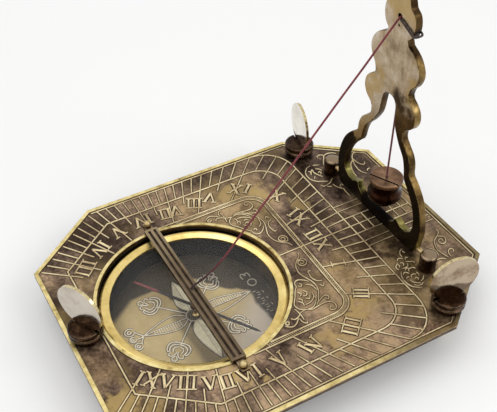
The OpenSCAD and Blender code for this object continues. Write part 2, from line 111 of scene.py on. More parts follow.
def make_camera():
    back = Vector((sin(AZIMUTH) * cos(ELEVATION),
                   -cos(AZIMUTH) * cos(ELEVATION), sin(ELEVATION)))
    right = (-back).cross(Vector((0, 0, 1))).normalized()
    up = right.cross(-back)
    right, up = (right * cos(ROLL) + up * sin(ROLL),
                 up * cos(ROLL) - right * sin(ROLL))
    data = bpy.data.cameras.new("camera")
    data.sensor_width = SENSOR
    data.lens = FOCAL_PX * SENSOR / PICTURE_PX
    data.shift_x = SHIFT_X
    data.shift_y = SHIFT_Y
    data.clip_start = CLIP_START
    camera = add_object("camera", data)
    turn = Matrix((right, up, back)).transposed().to_4x4()
    camera.matrix_world = Matrix.Translation(CAMERA_PLACE) @ turn
    bpy.context.scene.camera = camera


# Light and floor. A lamp has a place and a point it aims at in metres, a size and watts
LAMPS = [("key_lamp", (-0.22, 0.12, 0.78), (0, 0, 0.02), 0.75, 1.5),
         ("fill_lamp", (0.45, -0.5, 0.6), (0, 0, 0.03), 0.5, 1.6)]
WORLD_LIGHT = 0.80
FLOOR_HALF = 2.0
FLOOR_DROP = 0.00002


def area_lamp(name, place, aim, size, watts):
    data = bpy.data.lights.new(name, "AREA")
    data.shape = "DISK"
    data.size = size
    data.energy = watts
    lamp = add_object(name, data)
    lamp.location = place
    lamp.rotation_euler = (Vector(aim) - Vector(place)).to_track_quat("-Z", "Y").to_euler()


def make_world():
    world = bpy.data.worlds.new("studio")
    bpy.context.scene.world = world
    start_tree(world)
    path = node("LightPath").outputs
    seen = plus(path["Is Camera Ray"], path["Is Glossy Ray"])
    seen = maths("ADD", (seen, path["Is Transmission Ray"]), clamp=True)
    plain = node("Background", {"Color": (1, 1, 1, 1), "Strength": WORLD_LIGHT})
    white = node("Background", {"Color": (1, 1, 1, 1), "Strength": 1.0})
    both = node("MixShader", {0: seen, 1: plain.outputs[0], 2: white.outputs[0]})
    node("OutputWorld", {"Surface": both.outputs[0]})


def make_floor():
    mesh = bpy.data.meshes.new("floor")
    corners = [(x * FLOOR_HALF, y * FLOOR_HALF, 0) for x, y in ((-1, -1), (1, -1), (1, 1), (-1, 1))]
    mesh.from_pydata(corners, [], [(0, 1, 2, 3)])
    floor = add_object("floor", mesh)
    floor.location.z = -FLOOR_DROP
    new_material("floor_paper")
    recolour(ramp(noise(3.0, 2), [(0.3, (0.880, 0.880, 0.876)), (0.7, (0.910, 0.910, 0.906))]))
    put(MAKING["shader"], "Roughness", 0.9)
    put(MAKING["shader"], "Specular IOR Level", 0.1)
    mesh.materials.append(LOOKS["floor_paper"])


# Node helpers: each adds to the tree of the look being made
LOOKS = {}
MAKING = {}
NOISE_LOW, NOISE_HIGH = 0.3, 0.7
UP, ACROSS = (0, 0, 1), (0, 1, 0)


def put(made, key, value):
    """Links a socket to an input, or sets the input to a plain value."""
    if isinstance(value, bpy.types.NodeSocket):
        MAKING["tree"].links.new(value, made.inputs[key])
    else:
        made.inputs[key].default_value = value


def node(kind, inputs=None, **settings):
    made = MAKING["tree"].nodes.new("ShaderNode" + kind)
    for key, value in settings.items():
        setattr(made, key, value)
    for key, value in (inputs or {}).items():
        put(made, key, value)
    return made


def maths(operation, values, clamp=False):
    """Values taken together two by two, from the left."""
    found = values[0]
    for value in values[1:]:
        found = node("Math", {0: found, 1: value}, operation=operation, use_clamp=clamp).outputs[0]
    return found


def plus(*values):
    return maths("ADD", values)


def times(*values):
    return maths("MULTIPLY", values)


def most(*values):
    return maths("MAXIMUM", values)


def size_of(value):
    return maths("ABSOLUTE", (value, 0.0))


def start_tree(owner):
    owner.use_nodes = True
    MAKING["tree"] = owner.node_tree
    owner.node_tree.nodes.clear()


def new_material(name):
    LOOKS[name] = bpy.data.materials.new("look_" + name)
    start_tree(LOOKS[name])
    MAKING["shader"] = node("BsdfPrincipled")
    node("OutputMaterial", {"Surface": MAKING["shader"].outputs[0]})
    MAKING["place"] = node("TexCoord").outputs["Object"]


def noise(scale, detail=4, rough=0.55, stretch=None):
    place = MAKING["place"]
    if stretch:
        place = node("Mapping", {"Vector": place, "Scale": stretch}).outputs[0]
    return node("TexNoise", {"Vector": place, "Scale": scale, "Detail": detail,
                             "Roughness": rough}).outputs["Fac"]


def ramp(factor, stops):
    made = node("ValToRGB", {"Fac": factor})
    elements = made.color_ramp.elements
    for element, (at, colour) in zip((elements[0], elements[-1]), (stops[0], stops[-1])):
        element.position = at
        element.color = (*colour, 1)
    for at, colour in stops[1:-1]:
        elements.new(at).color = (*colour, 1)
    return made.outputs["Color"]


def step(value, low, high, out_low=0.0, out_high=1.0):
    """A soft step: out_low where value is under low, out_high where it is over high."""
    return node("MapRange", {"Value": value, "From Min": low, "From Max": high,
                             "To Min": out_low, "To Max": out_high},
                interpolation_type="SMOOTHSTEP").outputs[0]


def spread(fac, low, high):
    """A noise's usual range spread over another."""
    return step(fac, NOISE_LOW, NOISE_HIGH, low, high)


def blend(factor, a, b):
    """Colour a where the factor is 0, b where it is 1."""
    a, b = (c if isinstance(c, bpy.types.NodeSocket) else (*c, 1) for c in (a, b))
    return node("Mix", {0: factor, 6: a, 7: b}, data_type="RGBA").outputs[2]


def dot(a, b):
    return node("VectorMath", {0: a, 1: b}, operation="DOT_PRODUCT").outputs["Value"]


def along(direction, offset=0.0):
    """Distance of a point along a direction, in millimetres, less an offset."""
    return maths("SUBTRACT", (dot(MAKING["place"], tuple(c / MM for c in direction)), offset))


def height():
    """Height over the plate's top, in millimetres."""
    return along(UP, TOP)


def from_centre():
    """Distance of a point from the compass's axis, in millimetres."""
    x = along((1, 0, 0), FOOT[0])
    y = along(ACROSS, FOOT[1])
    return maths("SQRT", (plus(times(x, x), times(y, y)), 0.0))


def facing(direction):
    """How squarely the surface faces a direction of the frame, from 0 to 1, either way round."""
    return size_of(dot(node("TexCoord").outputs["Normal"], direction))


def edge_mask(radius, low=0.01, high=0.12):
    """1 along the part's sharp edges, where a soft normal leaves the true one; and that normal."""
    soft = node("Bevel", {"Radius": radius * MM}, samples=4).outputs[0]
    off = maths("SUBTRACT", (1.0, dot(soft, node("NewGeometry").outputs["True Normal"])))
    return step(off, low, high), soft


def corner_dirt_and_shade(reach):
    """1 in the open, towards 0 in corners within reach, in millimetres: painted shade, with dirt in the
    corners.
    """
    return node("AmbientOcclusion", {"Distance": reach * MM}, samples=4).outputs["AO"]


def bump(rise, depth, strength=1.0, normal=None):
    inputs = {"Height": rise, "Distance": depth * MM, "Strength": strength}
    if normal is not None:
        inputs["Normal"] = normal
    return node("Bump", inputs).outputs[0]


def recolour(colour):
    put(MAKING["shader"], "Base Color", colour)


def wire(colour, rough, normal, metal=1.0):
    recolour(colour)
    for key, value in (("Roughness", rough), ("Normal", normal), ("Metallic", metal)):
        put(MAKING["shader"], key, value)


# Materials. Spots are places on the plate, with a radius and a strength
GOLD_SPOTS = [
    (8, 36.5, 7, 0.7), (18, 31, 6, 0.8), (28, 20, 5, 0.5), (21, -30.5, 6.5, 0.9), (17.5, -35.5, 5, 0.9),
    (5, -40.5, 6, 0.7), (-24, -35.5, 5, 0.9), (-62, -28, 6, 0.7), (21, -13, 5, 0.6), (-55, -37, 6, 0.5)]
# Dark spots: the strong ones round the bracket's foot and under the bob are painted shadow and reflection, the
# rest dark patina
DARK_SPOTS_AND_SHADOWS = [
    (-5, 30, 8, 0.35), (58, -32, 8, 0.35), (-58, -18, 9, 0.3), (33, 26.5, 5, 0.8), (33.5, -12, 6, 0.9),
    (38, -30, 6, 0.7), (47.5, 27, 7, 0.85), (47, -18, 7, 0.9), (39, 0, 7, 0.8), (51, 4, 9, 0.95),
    (32, -44, 6, 0.7), (35, 8, 5, 0.7), (-40, 45, 9, 0.4), (8, 24, 7, 0.5), (12, 8, 6, 0.4)]
PALE_SPOTS = [
    (-5.5, -44, 9, 0.7), (3, -28, 7, 0.5), (24, -39, 8, 0.6), (27, 19, 7, 0.35), (-30, -46, 8, 0.5),
    (14, -25, 5, 0.5), (9, -46, 6, 0.6)]


def spots(wobble, listed):
    """Soft blots, full within a third of their radius and gone a little beyond it."""
    flat = node("VectorMath", {0: MAKING["place"], 1: (1.0, 1.0, 0.0)}, operation="MULTIPLY").outputs[0]
    found = []
    for x, y, radius, strength in listed:
        apart = node("VectorMath", {0: flat, 1: (x * MM, y * MM, 0.0)}, operation="DISTANCE")
        apart = plus(times(apart.outputs["Value"], 1 / MM), wobble)
        found.append(step(apart, radius * 0.35, radius * 1.15, strength, 0.0))
    return most(*found)


def plate_material():
    """Clouded patina with gold, pale and dark blots, a bright rim and a dark side; lighter towards the near
    side as painted reflection, some dark blots painted shadow and reflection, and corners darkened by patina
    and painted shade.
    """
    new_material("plate_patina")
    cloud = noise(48, 5, 0.62)
    smear = noise(170, 4, 0.62, (1.0, 0.45, 1.0))
    speck = noise(900, 3, 0.6)
    # Lighter towards the near side: painted reflection
    near = step(along((-0.35, -0.94, 0)), 14, 46, 0.0, 0.06)
    right = step(along((0.9, 0.43, 0)), 12, 48, 0.0, -0.03)
    left = step(along((-1, 0.15, 0)), 34, 58, 0.0, -0.05)
    sides = plus(near, plus(left, right))
    tone = plus(times(smear, 0.4), 0.05, times(cloud, 0.7), times(speck, 0.25), sides)
    ground = ramp(tone, [(0.62, (0.036, 0.020, 0.012)), (0.70, (0.115, 0.074, 0.050)),
                         (0.77, (0.240, 0.160, 0.105)), (0.85, (0.460, 0.320, 0.190))])
    wobble = spread(noise(150, 4, 0.65), -4.5, 4.5)
    gold = most(step(noise(34, 3, 0.5), 0.50, 0.70, 0.0, 0.42), spots(wobble, GOLD_SPOTS))
    ground = blend(gold, ground, (0.47, 0.33, 0.125))
    pale = times(spots(wobble, PALE_SPOTS), step(smear, 0.40, 0.60, 0.25, 1.1))
    ground = blend(pale, ground, (0.40, 0.285, 0.175))
    # Dark blots: patina, and painted shadow and reflection round the bracket's foot and the bob
    ground = blend(spots(wobble, DARK_SPOTS_AND_SHADOWS), ground, (0.060, 0.034, 0.017))
    # Darker in corners beside raised parts: patina and painted shade
    ground = blend(step(corner_dirt_and_shade(0.9), 0.35, 0.95), (0.022, 0.014, 0.009), ground)
    wear = noise(300, 4, 0.65)
    bright = ramp(wear, [(0.3, (0.34, 0.25, 0.09)), (0.48, (0.66, 0.53, 0.22)), (0.7, (0.90, 0.77, 0.40))])
    worn = step(along((0.72, -0.69, 0)), 38, 58, 0.0, 0.8)
    bright = blend(worn, bright, (0.10, 0.065, 0.035))
    colour = blend(step(height(), 0.08, 0.2), ground, bright)
    side = ramp(wear, [(0.3, (0.045, 0.028, 0.016)), (0.7, (0.14, 0.095, 0.05))])
    colour = blend(step(height(), -0.6, -0.1), side, colour)
    soft = edge_mask(0.2)[1]
    wire(colour, spread(speck, 0.30, 0.48), bump(plus(times(speck, 0.5), smear), 0.05, 0.7, soft), 0.85)


def raised_material():
    """Lines rubbed bright, with a dark skirt on both sides: patina and painted shade beside the line."""
    new_material("raised_brass")
    cloud = noise(90, 5, 0.65)
    speck = noise(1200, 3, 0.6)
    worn = ramp(plus(times(cloud, 0.8), times(speck, 0.2)), [
        (0.34, (0.30, 0.21, 0.11)), (0.46, (0.58, 0.45, 0.25)), (0.60, (0.84, 0.70, 0.43))])
    # Dark on the low skirt: patina and painted shade
    colour = blend(step(height(), 0.04, 0.11), (0.030, 0.019, 0.012), worn)
    wire(colour, spread(speck, 0.3, 0.46), bump(speck, 0.03, 0.6), 0.7)


def metal_material(name, tones, patch, grain, rough_range, depth=0.03, edge=None, metal=1.0, edge_share=0.9):
    """Cast or turned metal: cloudy tones, grain in roughness and bump, and bright edges that stand for wear
    and painted highlight.
    """
    new_material(name)
    cloud = noise(1000 / patch, 5, 0.6)
    speck = noise(1000 / grain, 3, 0.6)
    colour = ramp(plus(times(cloud, 0.75), times(speck, 0.25)), list(zip((0.34, 0.5, 0.66), tones)))
    mask, soft = edge_mask(0.25)
    # Bright edges: wear and painted highlight
    if edge:
        colour = blend(times(mask, step(cloud, 0.3, 0.6, 0.35, edge_share)), colour, edge)
    wire(colour, spread(speck, *rough_range), bump(speck, depth, 0.6, soft), metal)
    return colour


def post_material():
    """Dark posts whose domed tops are painted lighter gold as a highlight."""
    colour = metal_material(
        "post_bronze", [(0.012, 0.006, 0.004), (0.032, 0.016, 0.010), (0.09, 0.05, 0.03)],
        4, 0.6, (0.2, 0.36), edge=(0.30, 0.21, 0.12))
    # Domed top: painted highlight
    recolour(blend(step(height(), 5.4, 6.3, 0.0, 0.8), colour, (0.30, 0.22, 0.14)))


def cap_material():
    """Red-brown cap whose slot is painted black as shade."""
    colour = metal_material(
        "cap_bronze", [(0.075, 0.040, 0.022), (0.175, 0.098, 0.056), (0.31, 0.185, 0.105)],
        4, 0.6, (0.28, 0.44), depth=0.012, edge=(0.34, 0.23, 0.14))
    # Slot and corners: painted shade
    recolour(blend(step(corner_dirt_and_shade(1.2), 0.45, 0.85), (0.006, 0.003, 0.002), colour))


def bridge_material():
    """Nearly black bar, dull gold on its ribs towards the far end."""
    colour = metal_material(
        "bridge_bronze", [(0.020, 0.013, 0.009), (0.055, 0.037, 0.025), (0.13, 0.09, 0.06)],
        4, 0.7, (0.28, 0.44), edge=(0.40, 0.30, 0.17))
    rib = step(height(), BRIDGE_PLAIN + 0.1, BRIDGE_PLAIN + 0.3, 0.0, 0.5)
    colour = blend(rib, colour, (0.26, 0.19, 0.12))
    far = step(along(ACROSS), 6, 34, 0.0, 0.7)
    colour = blend(times(far, rib), colour, (0.62, 0.48, 0.28))
    ear = step(size_of(along(ACROSS)), 32.2, 33.0)
    colour = blend(ear, colour, (0.30, 0.22, 0.14))
    # Darker in corners: painted shade
    recolour(blend(step(corner_dirt_and_shade(0.7), 0.4, 0.95), (0.012, 0.008, 0.006), colour))


def bezel_material():
    """Turned ring whose outer part towards the far side is painted near black, the shadow of the bowl's lip.
    """
    colour = metal_material(
        "bezel_brass", [(0.52, 0.37, 0.11), (0.78, 0.59, 0.22), (0.94, 0.76, 0.33)],
        12, 4.0, (0.24, 0.32), depth=0.02)
    # Far outer part: painted shadow
    far = step(along((0.1, 0.99, 0)), 4, 20, 0.0, 0.94)
    outer = step(from_centre(), BEZEL_SHADOW_R - 0.25, BEZEL_SHADOW_R + 0.25)
    recolour(blend(times(far, outer), colour, (0.020, 0.012, 0.008)))


def bowl_material():
    """Dull turned brass, painted almost black as shade on the far wall over the bezel."""
    colour = metal_material(
        "bowl_brass", [(0.12, 0.085, 0.045), (0.27, 0.20, 0.11), (0.42, 0.32, 0.17)],
        8, 0.8, (0.3, 0.46), edge=(0.6, 0.5, 0.28))
    # Far wall over the bezel: painted shade
    wall = step(height(), -0.35, -0.1, 0.95, 0.0)
    inside = step(from_centre(), LIP_R - 1.0, LIP_R - 0.6, 1.0, 0.0)
    far = step(along((0.1, 0.99, 0)), 0, 14)
    recolour(blend(times(wall, inside, far), colour, (0.014, 0.008, 0.006)))


def disc_material(name, turn, tone, stain, shade):
    """Polished faces with fine scratches and brown stains, darker towards the bottom as painted reflection of
    the knob and plate, and a brass rim.
    """
    new_material(name)
    a = radians(turn)
    face = step(facing((-sin(a), cos(a), 0)), 0.7, 0.9)
    cloud = noise(130, 5, 0.65)
    scratch = noise(500, 3, 0.7, (1.0, 1.0, 6.0))
    mirror = ramp(cloud, [(0.36, stain), (0.54, tone)])
    # Darker under a slanting line: painted reflection
    slant = plus(along((0.2, 0, 1), TOP), spread(cloud, -0.6, 0.6))
    reflection_below = step(slant, shade - 0.5, shade + 0.5, 0.85, 0.0)
    mirror = blend(reflection_below, mirror, (0.10, 0.065, 0.04))
    rim = ramp(scratch, [(0.3, (0.40, 0.30, 0.13)), (0.7, (0.78, 0.68, 0.40))])
    rough = step(scratch, 0.3, 0.75, 0.07, 0.16)
    wire(blend(face, rim, mirror), rough, bump(scratch, 0.004, 0.4, edge_mask(0.25)[1]))


def bracket_material():
    """Satin faces with gold and brown clouds; legs darkened towards the bottom as painted shade, a gold outer
    side to the near leg painted as lit, painted highlights on the edges and foot scrolls, and the crossbar's
    middle painted black as shade under the bob.
    """
    new_material("bracket_satin")
    cloud = noise(95, 5, 0.62)
    brush = noise(300, 3, 0.6, (1.0, 3.0, 0.5))
    speck = noise(1100, 2, 0.6)
    tone = plus(times(cloud, 0.84), times(brush, 0.16))
    satin = ramp(tone, [(0.34, (0.20, 0.14, 0.075)), (0.46, (0.42, 0.32, 0.21)), (0.62, (0.60, 0.52, 0.41))])
    gold = step(noise(75, 4, 0.6), 0.47, 0.60, 0.0, 0.8)
    satin = blend(gold, satin, (0.40, 0.27, 0.10))
    plain_height = height()
    across = along(ACROSS)
    wavy_height = plus(plain_height, spread(cloud, -4, 4))
    # Front and sides darker towards the bottom of the legs: painted shade
    far = step(across, -4, 5, 0, 27)
    low = step(plus(wavy_height, far), 51, 56)
    dark = ramp(tone, [(0.36, (0.022, 0.012, 0.004)), (0.5, (0.060, 0.033, 0.010)),
                       (0.66, (0.13, 0.078, 0.026))])
    dark = blend(step(wavy_height, 14, 40), (0.010, 0.006, 0.003), dark)
    front = blend(low, dark, satin)
    side = ramp(cloud, [(0.36, (0.020, 0.011, 0.005)), (0.6, (0.110, 0.066, 0.024))])
    side = blend(step(wavy_height, 3, 20), (0.012, 0.007, 0.004), side)
    # Gold outer side of the near leg: painted light where it is lit
    near_leg = times(step(across, -12, -8, 0.8, 0.0), step(wavy_height, 5, 14))
    lit_gold_side = ramp(tone, [(0.40, (0.07, 0.042, 0.014)), (0.50, (0.20, 0.13, 0.045)),
                            (0.62, (0.46, 0.33, 0.14))])
    side = blend(near_leg, side, lit_gold_side)
    # Foot scrolls' tops: painted highlight
    scroll = times(step(size_of(across), 8, 10, 0.0, 0.75), step(plain_height, 9.5, 12, 1.0, 0.0))
    side = blend(scroll, side, (0.20, 0.175, 0.055))
    colour = blend(step(facing((1, 0, 0)), 0.8, 0.98), side, front)
    # Bright edges: wear and painted highlight
    rim = times(edge_mask(0.5, 0.02, 0.2)[0], step(brush, 0.4, 0.6, 0.0, 0.7))
    colour = blend(rim, colour, (0.52, 0.38, 0.16))
    # Crossbar's middle black and rough: painted shade under the bob
    middle = times(step(size_of(across), 7, 9.5, 1.0, 0.0), step(plain_height, 7, 9, 1.0, 0.0))
    colour = blend(middle, colour, (0.006, 0.004, 0.003))
    rough = plus(spread(speck, 0.26, 0.42), times(middle, 0.35))
    wire(colour, rough, bump(plus(times(brush, 0.4), speck), 0.03, 0.6))


def card_tarnish_and_shade(cloud):
    """1 where the card is darkened, beyond slanting lines and round the hub: partly tarnish, partly painted
    shade.
    """
    wobble = spread(cloud, -0.7, 0.7)
    x = plus(along((1, 0, 0), ROSE[0]), wobble)
    y = plus(along(ACROSS, ROSE[1]), wobble)

    def beyond(ax, ay, offset, soft):
        return step(plus(times(x, ax), times(y, ay)), offset - soft, offset + soft)

    left = beyond(-1, 0, -3, 1)
    lower = times(beyond(1, 0, -6.4, 1.6), beyond(0, -1, -4.6, 2.0), left)
    return most(beyond(0.727, 0.687, 15.4, 0.6), beyond(1, 0, 21.2, 0.9), beyond(0, 1, 16.9, 1.0),
                beyond(-0.588, 0.809, 22.6, 1.2),
                times(beyond(0.9, 0.433, 0.6, 0.7), beyond(0, 1, 3, 1.5), left),
                times(beyond(1, 0, -3.2, 0.8), beyond(0, 1, -4.5, 1.2), left), times(lower, 0.68))


def card_material():
    """Silvered card, greyer towards the near right as painted reflection, and dark brown towards its far and
    right edges and round the hub: partly tarnish, partly painted shade.
    """
    new_material("card_silver")
    cloud = noise(80, 4, 0.6)
    speck = noise(900, 3, 0.6)
    pale = ramp(cloud, [(0.35, (0.42, 0.31, 0.14)), (0.65, (0.57, 0.44, 0.21))])
    # Greyer towards the near right: painted reflection
    glass_reflection_haze = step(along((0.7, -0.7, 0)), -8, 4, 0.0, 0.7)
    pale = blend(glass_reflection_haze, pale, (0.55, 0.49, 0.43))
    brown = ramp(cloud, [(0.35, (0.016, 0.010, 0.006)), (0.7, (0.050, 0.035, 0.024))])
    # Darkened by tarnish and painted shade
    colour = blend(times(card_tarnish_and_shade(cloud), 0.94), pale, brown)
    wire(colour, spread(speck, 0.40, 0.46), bump(speck, 0.006, 0.3), 0.35)


def card_raised_material(name, tones, dark_tone, share=0.8):
    new_material(name)
    speck = noise(700, 3, 0.6)
    colour = ramp(speck, list(zip((0.35, 0.65), tones)))
    # Darkened with the card: tarnish and painted shade
    colour = blend(times(card_tarnish_and_shade(noise(80, 4, 0.6)), share), colour, dark_tone)
    wire(colour, spread(speck, 0.34, 0.5), bump(speck, 0.02, 0.5), 0.3)


def needle_material():
    """Faded red paint towards the north tip, black on the rest."""
    new_material("needle_paint")
    speck = noise(900, 3, 0.6)
    a = radians(NEEDLE_TURN)
    north = along((cos(a), sin(a), 0), FOOT[0] * cos(a))
    red = ramp(speck, [(0.3, (0.15, 0.032, 0.028)), (0.7, (0.25, 0.060, 0.050))])
    black = ramp(speck, [(0.3, (0.014, 0.010, 0.009)), (0.7, (0.04, 0.03, 0.027))])
    colour = blend(step(north, 13.5, 15.5), black, red)
    wire(colour, spread(speck, 0.4, 0.6), bump(speck, 0.01, 0.5), 0.0)


def glass_material():
    new_material("glass")
    smear = noise(60, 3, 0.5)
    wire((0.92, 0.94, 0.93, 1), spread(smear, 0.03, 0.10), bump(smear, 0.01, 0.3), 0.0)
    put(MAKING["shader"], "Alpha", 0.02)


def cord_material(name, deep, light, foot=None):
    """Twisted thread with a dry sheen and fine fibres, darker up to a height above the plate."""
    new_material(name)
    fibre = noise(2600, 4, 0.7)
    cloud = noise(300, 2, 0.5)
    colour = ramp(plus(times(fibre, 0.6), times(cloud, 0.4)), [(0.35, deep), (0.65, light)])
    if foot:
        colour = blend(step(height(), 2, foot), (0.025, 0.010, 0.008), colour)
    wire(colour, spread(fibre, 0.7, 0.95), bump(fibre, 0.04, 0.8), 0.0)
    put(MAKING["shader"], "Sheen Weight", 0.15)


def make_materials():
    plate_material()
    raised_material()
    post_material()
    bridge_material()
    bracket_material()
    card_material()
    card_raised_material("card_line", [(0.72, 0.64, 0.47), (0.92, 0.85, 0.67)], (0.30, 0.25, 0.19))
    card_raised_material("card_hatch", [(0.60, 0.54, 0.40), (0.82, 0.76, 0.60)], (0.26, 0.22, 0.15))
    card_raised_material("card_leaf", [(0.60, 0.54, 0.36), (0.78, 0.72, 0.52)], (0.62, 0.56, 0.38), 0.7)
    # Dark band beside the card's raised lines: painted shadow
    card_raised_material("card_shadow_band", [(0.10, 0.075, 0.045), (0.17, 0.13, 0.085)], (0.02, 0.015, 0.01), 0.9)
    needle_material()
    glass_material()
    bezel_material()
    bowl_material()
    cap_material()
    metal_material("knob_bronze", [(0.010, 0.005, 0.003), (0.032, 0.017, 0.010), (0.10, 0.058, 0.034)],
                   4, 0.6, (0.2, 0.36), depth=0.012, edge=(0.34, 0.24, 0.14))
    metal_material("bob_bronze", [(0.006, 0.002, 0.0015), (0.018, 0.006, 0.003), (0.06, 0.024, 0.012)],
                   5, 0.6, (0.2, 0.34), depth=0.012, edge=(0.16, 0.08, 0.04), edge_share=0.5)
    metal_material("rivet_brass", [(0.30, 0.22, 0.10), (0.48, 0.37, 0.18), (0.66, 0.54, 0.30)],
                   3, 0.5, (0.3, 0.45), depth=0.012)
    metal_material("screw_brass", [(0.24, 0.17, 0.08), (0.46, 0.34, 0.16), (0.66, 0.52, 0.28)],
                   3, 0.5, (0.25, 0.42), edge=(0.8, 0.68, 0.4))
    metal_material("seat_black", [(0.012, 0.010, 0.008), (0.03, 0.024, 0.018), (0.06, 0.05, 0.04)],
                   4, 0.6, (0.5, 0.7), metal=0.2)
    # One disc finish in three tones, each toned for what it reflects: painted reflection
    disc_material("disc_nickel_1", -62, (0.60, 0.54, 0.45), (0.46, 0.40, 0.33), -7.5)
    disc_material("disc_nickel_2", 78, (0.84, 0.80, 0.72), (0.66, 0.61, 0.52), 15.5)
    disc_material("disc_nickel_3", -10, (0.48, 0.38, 0.27), (0.22, 0.145, 0.085), 19)
    cord_material("maroon_cord", (0.07, 0.008, 0.011), (0.26, 0.042, 0.050), 12)
    cord_material("plumb_cord", (0.05, 0.010, 0.012), (0.20, 0.04, 0.045))
    cord_material("black_cord", (0.010, 0.006, 0.005), (0.06, 0.03, 0.025))


CAD_MATERIALS = {
    "plate_patina": ["base_plate"],
    "bowl_brass": ["compass_bowl"],
    "screw_brass": ["bowl_screws", "needle_pivot", "post_screws", "hinge_pins"],
    "card_silver": ["compass_card"],
    "needle_paint": ["compass_needle"],
    "cap_bronze": ["needle_cap", "bob_cap"],
    "seat_black": ["glass_seat_ring"],
    "glass": ["compass_glass"],
    "bezel_brass": ["bezel_ring"],
    "bridge_bronze": ["string_bridge"],
    "rivet_brass": ["bridge_rivets"],
    "post_bronze": ["hinge_post_left", "hinge_post_right"],
    "knob_bronze": [],
    "bob_bronze": ["bob_body"],
}
for k in (1, 2, 3):
    CAD_MATERIALS["screw_brass"].append("level_shank_%d" % k)
    CAD_MATERIALS["knob_bronze"] += ["level_bush_%d" % k, "level_knob_%d" % k]
    CAD_MATERIALS["disc_nickel_%d" % k] = ["level_disc_%d" % k]


def paint_cad():
    for material, names in CAD_MATERIALS.items():
        for name in names:
            NODES[name].data.materials.clear()
            NODES[name].data.materials.append(LOOKS[material])


# Curves and meshes
def smooth(points, steps):
    """Points on a smooth curve through a list of points of any dimension."""
    found = []
    last = len(points) - 1
    for i in range(last):
        a, b, c, d = (points[max(0, min(last, i + k))] for k in (-1, 0, 1, 2))
        for k in range(steps):
            t = k / steps
            found.append(tuple(
                q + (r - p) * t / 2 + (2 * p - 5 * q + 4 * r - s) * t * t / 2
                + (3 * q - p - 3 * r + s) * t ** 3 / 2 for p, q, r, s in zip(a, b, c, d)))
    return found + [tuple(points[last])]


def resample(path, pitch, closed=False):
    points = list(path) + ([path[0]] if closed else [])
    found = []
    for a, b in zip(points, points[1:]):
        count = max(1, ceil(dist(a, b) / pitch))
        found += [(a[0] + (b[0] - a[0]) * k / count, a[1] + (b[1] - a[1]) * k / count)
                  for k in range(count)]
    return found if closed else found + [tuple(points[-1])]


def arc(cx, cy, r, start, end, steps=10):
    return [(cx + r * cos(radians(start + (end - start) * k / steps)),
             cy + r * sin(radians(start + (end - start) * k / steps)))
            for k in range(steps + 1)]


def spiral(cx, cy, r0, r1, start, turns, steps=22):
    """From radius r0 at the start angle inwards to r1; turns is signed, left positive."""
    found = []
    for k in range(steps + 1):
        t = k / steps
        a = radians(start + 360 * turns * t)
        r = r0 + (r1 - r0) * t
        found.append((cx + r * cos(a), cy + r * sin(a)))
    return found


PLAIN_SECTION = [(-0.5, 0.0), (-0.40, 0.62), (-0.22, 1.0), (0.22, 1.0), (0.40, 0.62), (0.5, 0.0)]
SKIRT_SECTION = [(-0.98, 0.0), (-0.93, 0.1), (-0.5, 0.13), (-0.4, 0.66), (-0.24, 1.0), (0.24, 1.0),
                 (0.4, 0.66), (0.5, 0.13), (0.93, 0.1), (0.98, 0.0)]
SUNK = 0.03
RUN_PITCH = 0.4
BRIDGE_CLEAR = (1.5, 37.1)
POST_CLEAR = 3.05
BUSH_CLEAR = 4.95


def point(mesh, x, y, z):
    """A vertex at a place in millimetres."""
    return mesh.verts.new((x * MM, y * MM, z * MM))


def ridge(mesh, path, width, height, base, closed=False, taper=0.0, section=PLAIN_SECTION):
    """A raised line of rounded section along a path on a level face."""
    count = len(path)
    rings = []
    for i, (x, y) in enumerate(path):
        if closed:
            before, after = path[i - 1], path[(i + 1) % count]
        else:
            before, after = path[max(0, i - 1)], path[min(count - 1, i + 1)]
        tx, ty = after[0] - before[0], after[1] - before[1]
        length = hypot(tx, ty) or 1.0
        nx, ny = -ty / length, tx / length
        sx, sy = x - before[0], y - before[1]
        span = hypot(sx, sy)
        turn = abs(sx * nx + sy * ny) / span if span > 0 else 0.0
        mitre = min(1.5, 1 / sqrt(max(0.2, 1 - turn * turn)))
        t = i / max(1, count - 1)
        w = width * mitre * (1 - taper * abs(2 * t - 1) ** 2)
        rings.append([point(mesh, x + nx * u * w, y + ny * u * w, base + (v * height if v else -SUNK))
                      for u, v in section])
    pairs = list(zip(rings, rings[1:])) + ([(rings[-1], rings[0])] if closed else [])
    n = len(section)
    for a, b in pairs:
        for k in range(n):
            m = (k + 1) % n
            mesh.faces.new((a[k], b[k], b[m], a[m]))
    if not closed:
        mesh.faces.new(rings[0])
        mesh.faces.new(tuple(reversed(rings[-1])))


def stitch(mesh, a, b):
    """A band of faces from one ring of points to the next."""
    for k in range(len(a)):
        m = (k + 1) % len(a)
        mesh.faces.new((a[k], a[m], b[m], b[k]))


def free_of(x, y):
    """True where the plate's top is bare: off the compass, the bridge, the posts and the bushes."""
    if hypot(x - FOOT[0], y - FOOT[1]) < LIP_R:
        return False
    if abs(x - BRIDGE_X) < BRIDGE_CLEAR[0] and abs(y) < BRIDGE_CLEAR[1]:
        return False
    if any(hypot(x - p[0], y - p[1]) < POST_CLEAR for p in POSTS):
        return False
    return all(hypot(x - s.x, y - s.y) > BUSH_CLEAR for s in SCREWS)


def bare_runs(path, closed=False):
    """The stretches of a path that lie on the plate's bare top."""
    points = resample(path, RUN_PITCH, closed)
    if closed:
        points.append(points[0])
    runs, run = [], []
    for p in points:
        if free_of(*p):
            run.append(p)
        elif run:
            runs.append(run)
            run = []
    runs.append(run)
    return [r for r in runs if len(r) > 2]


def dial_line(mesh, path, width=0.45, height=0.2, closed=False, taper=0.0, shift=0.0):
    path = [(x, y + shift) for x, y in path]
    for run in bare_runs(path, closed):
        ridge(mesh, run, width, height, TOP, taper=taper, section=SKIRT_SECTION)


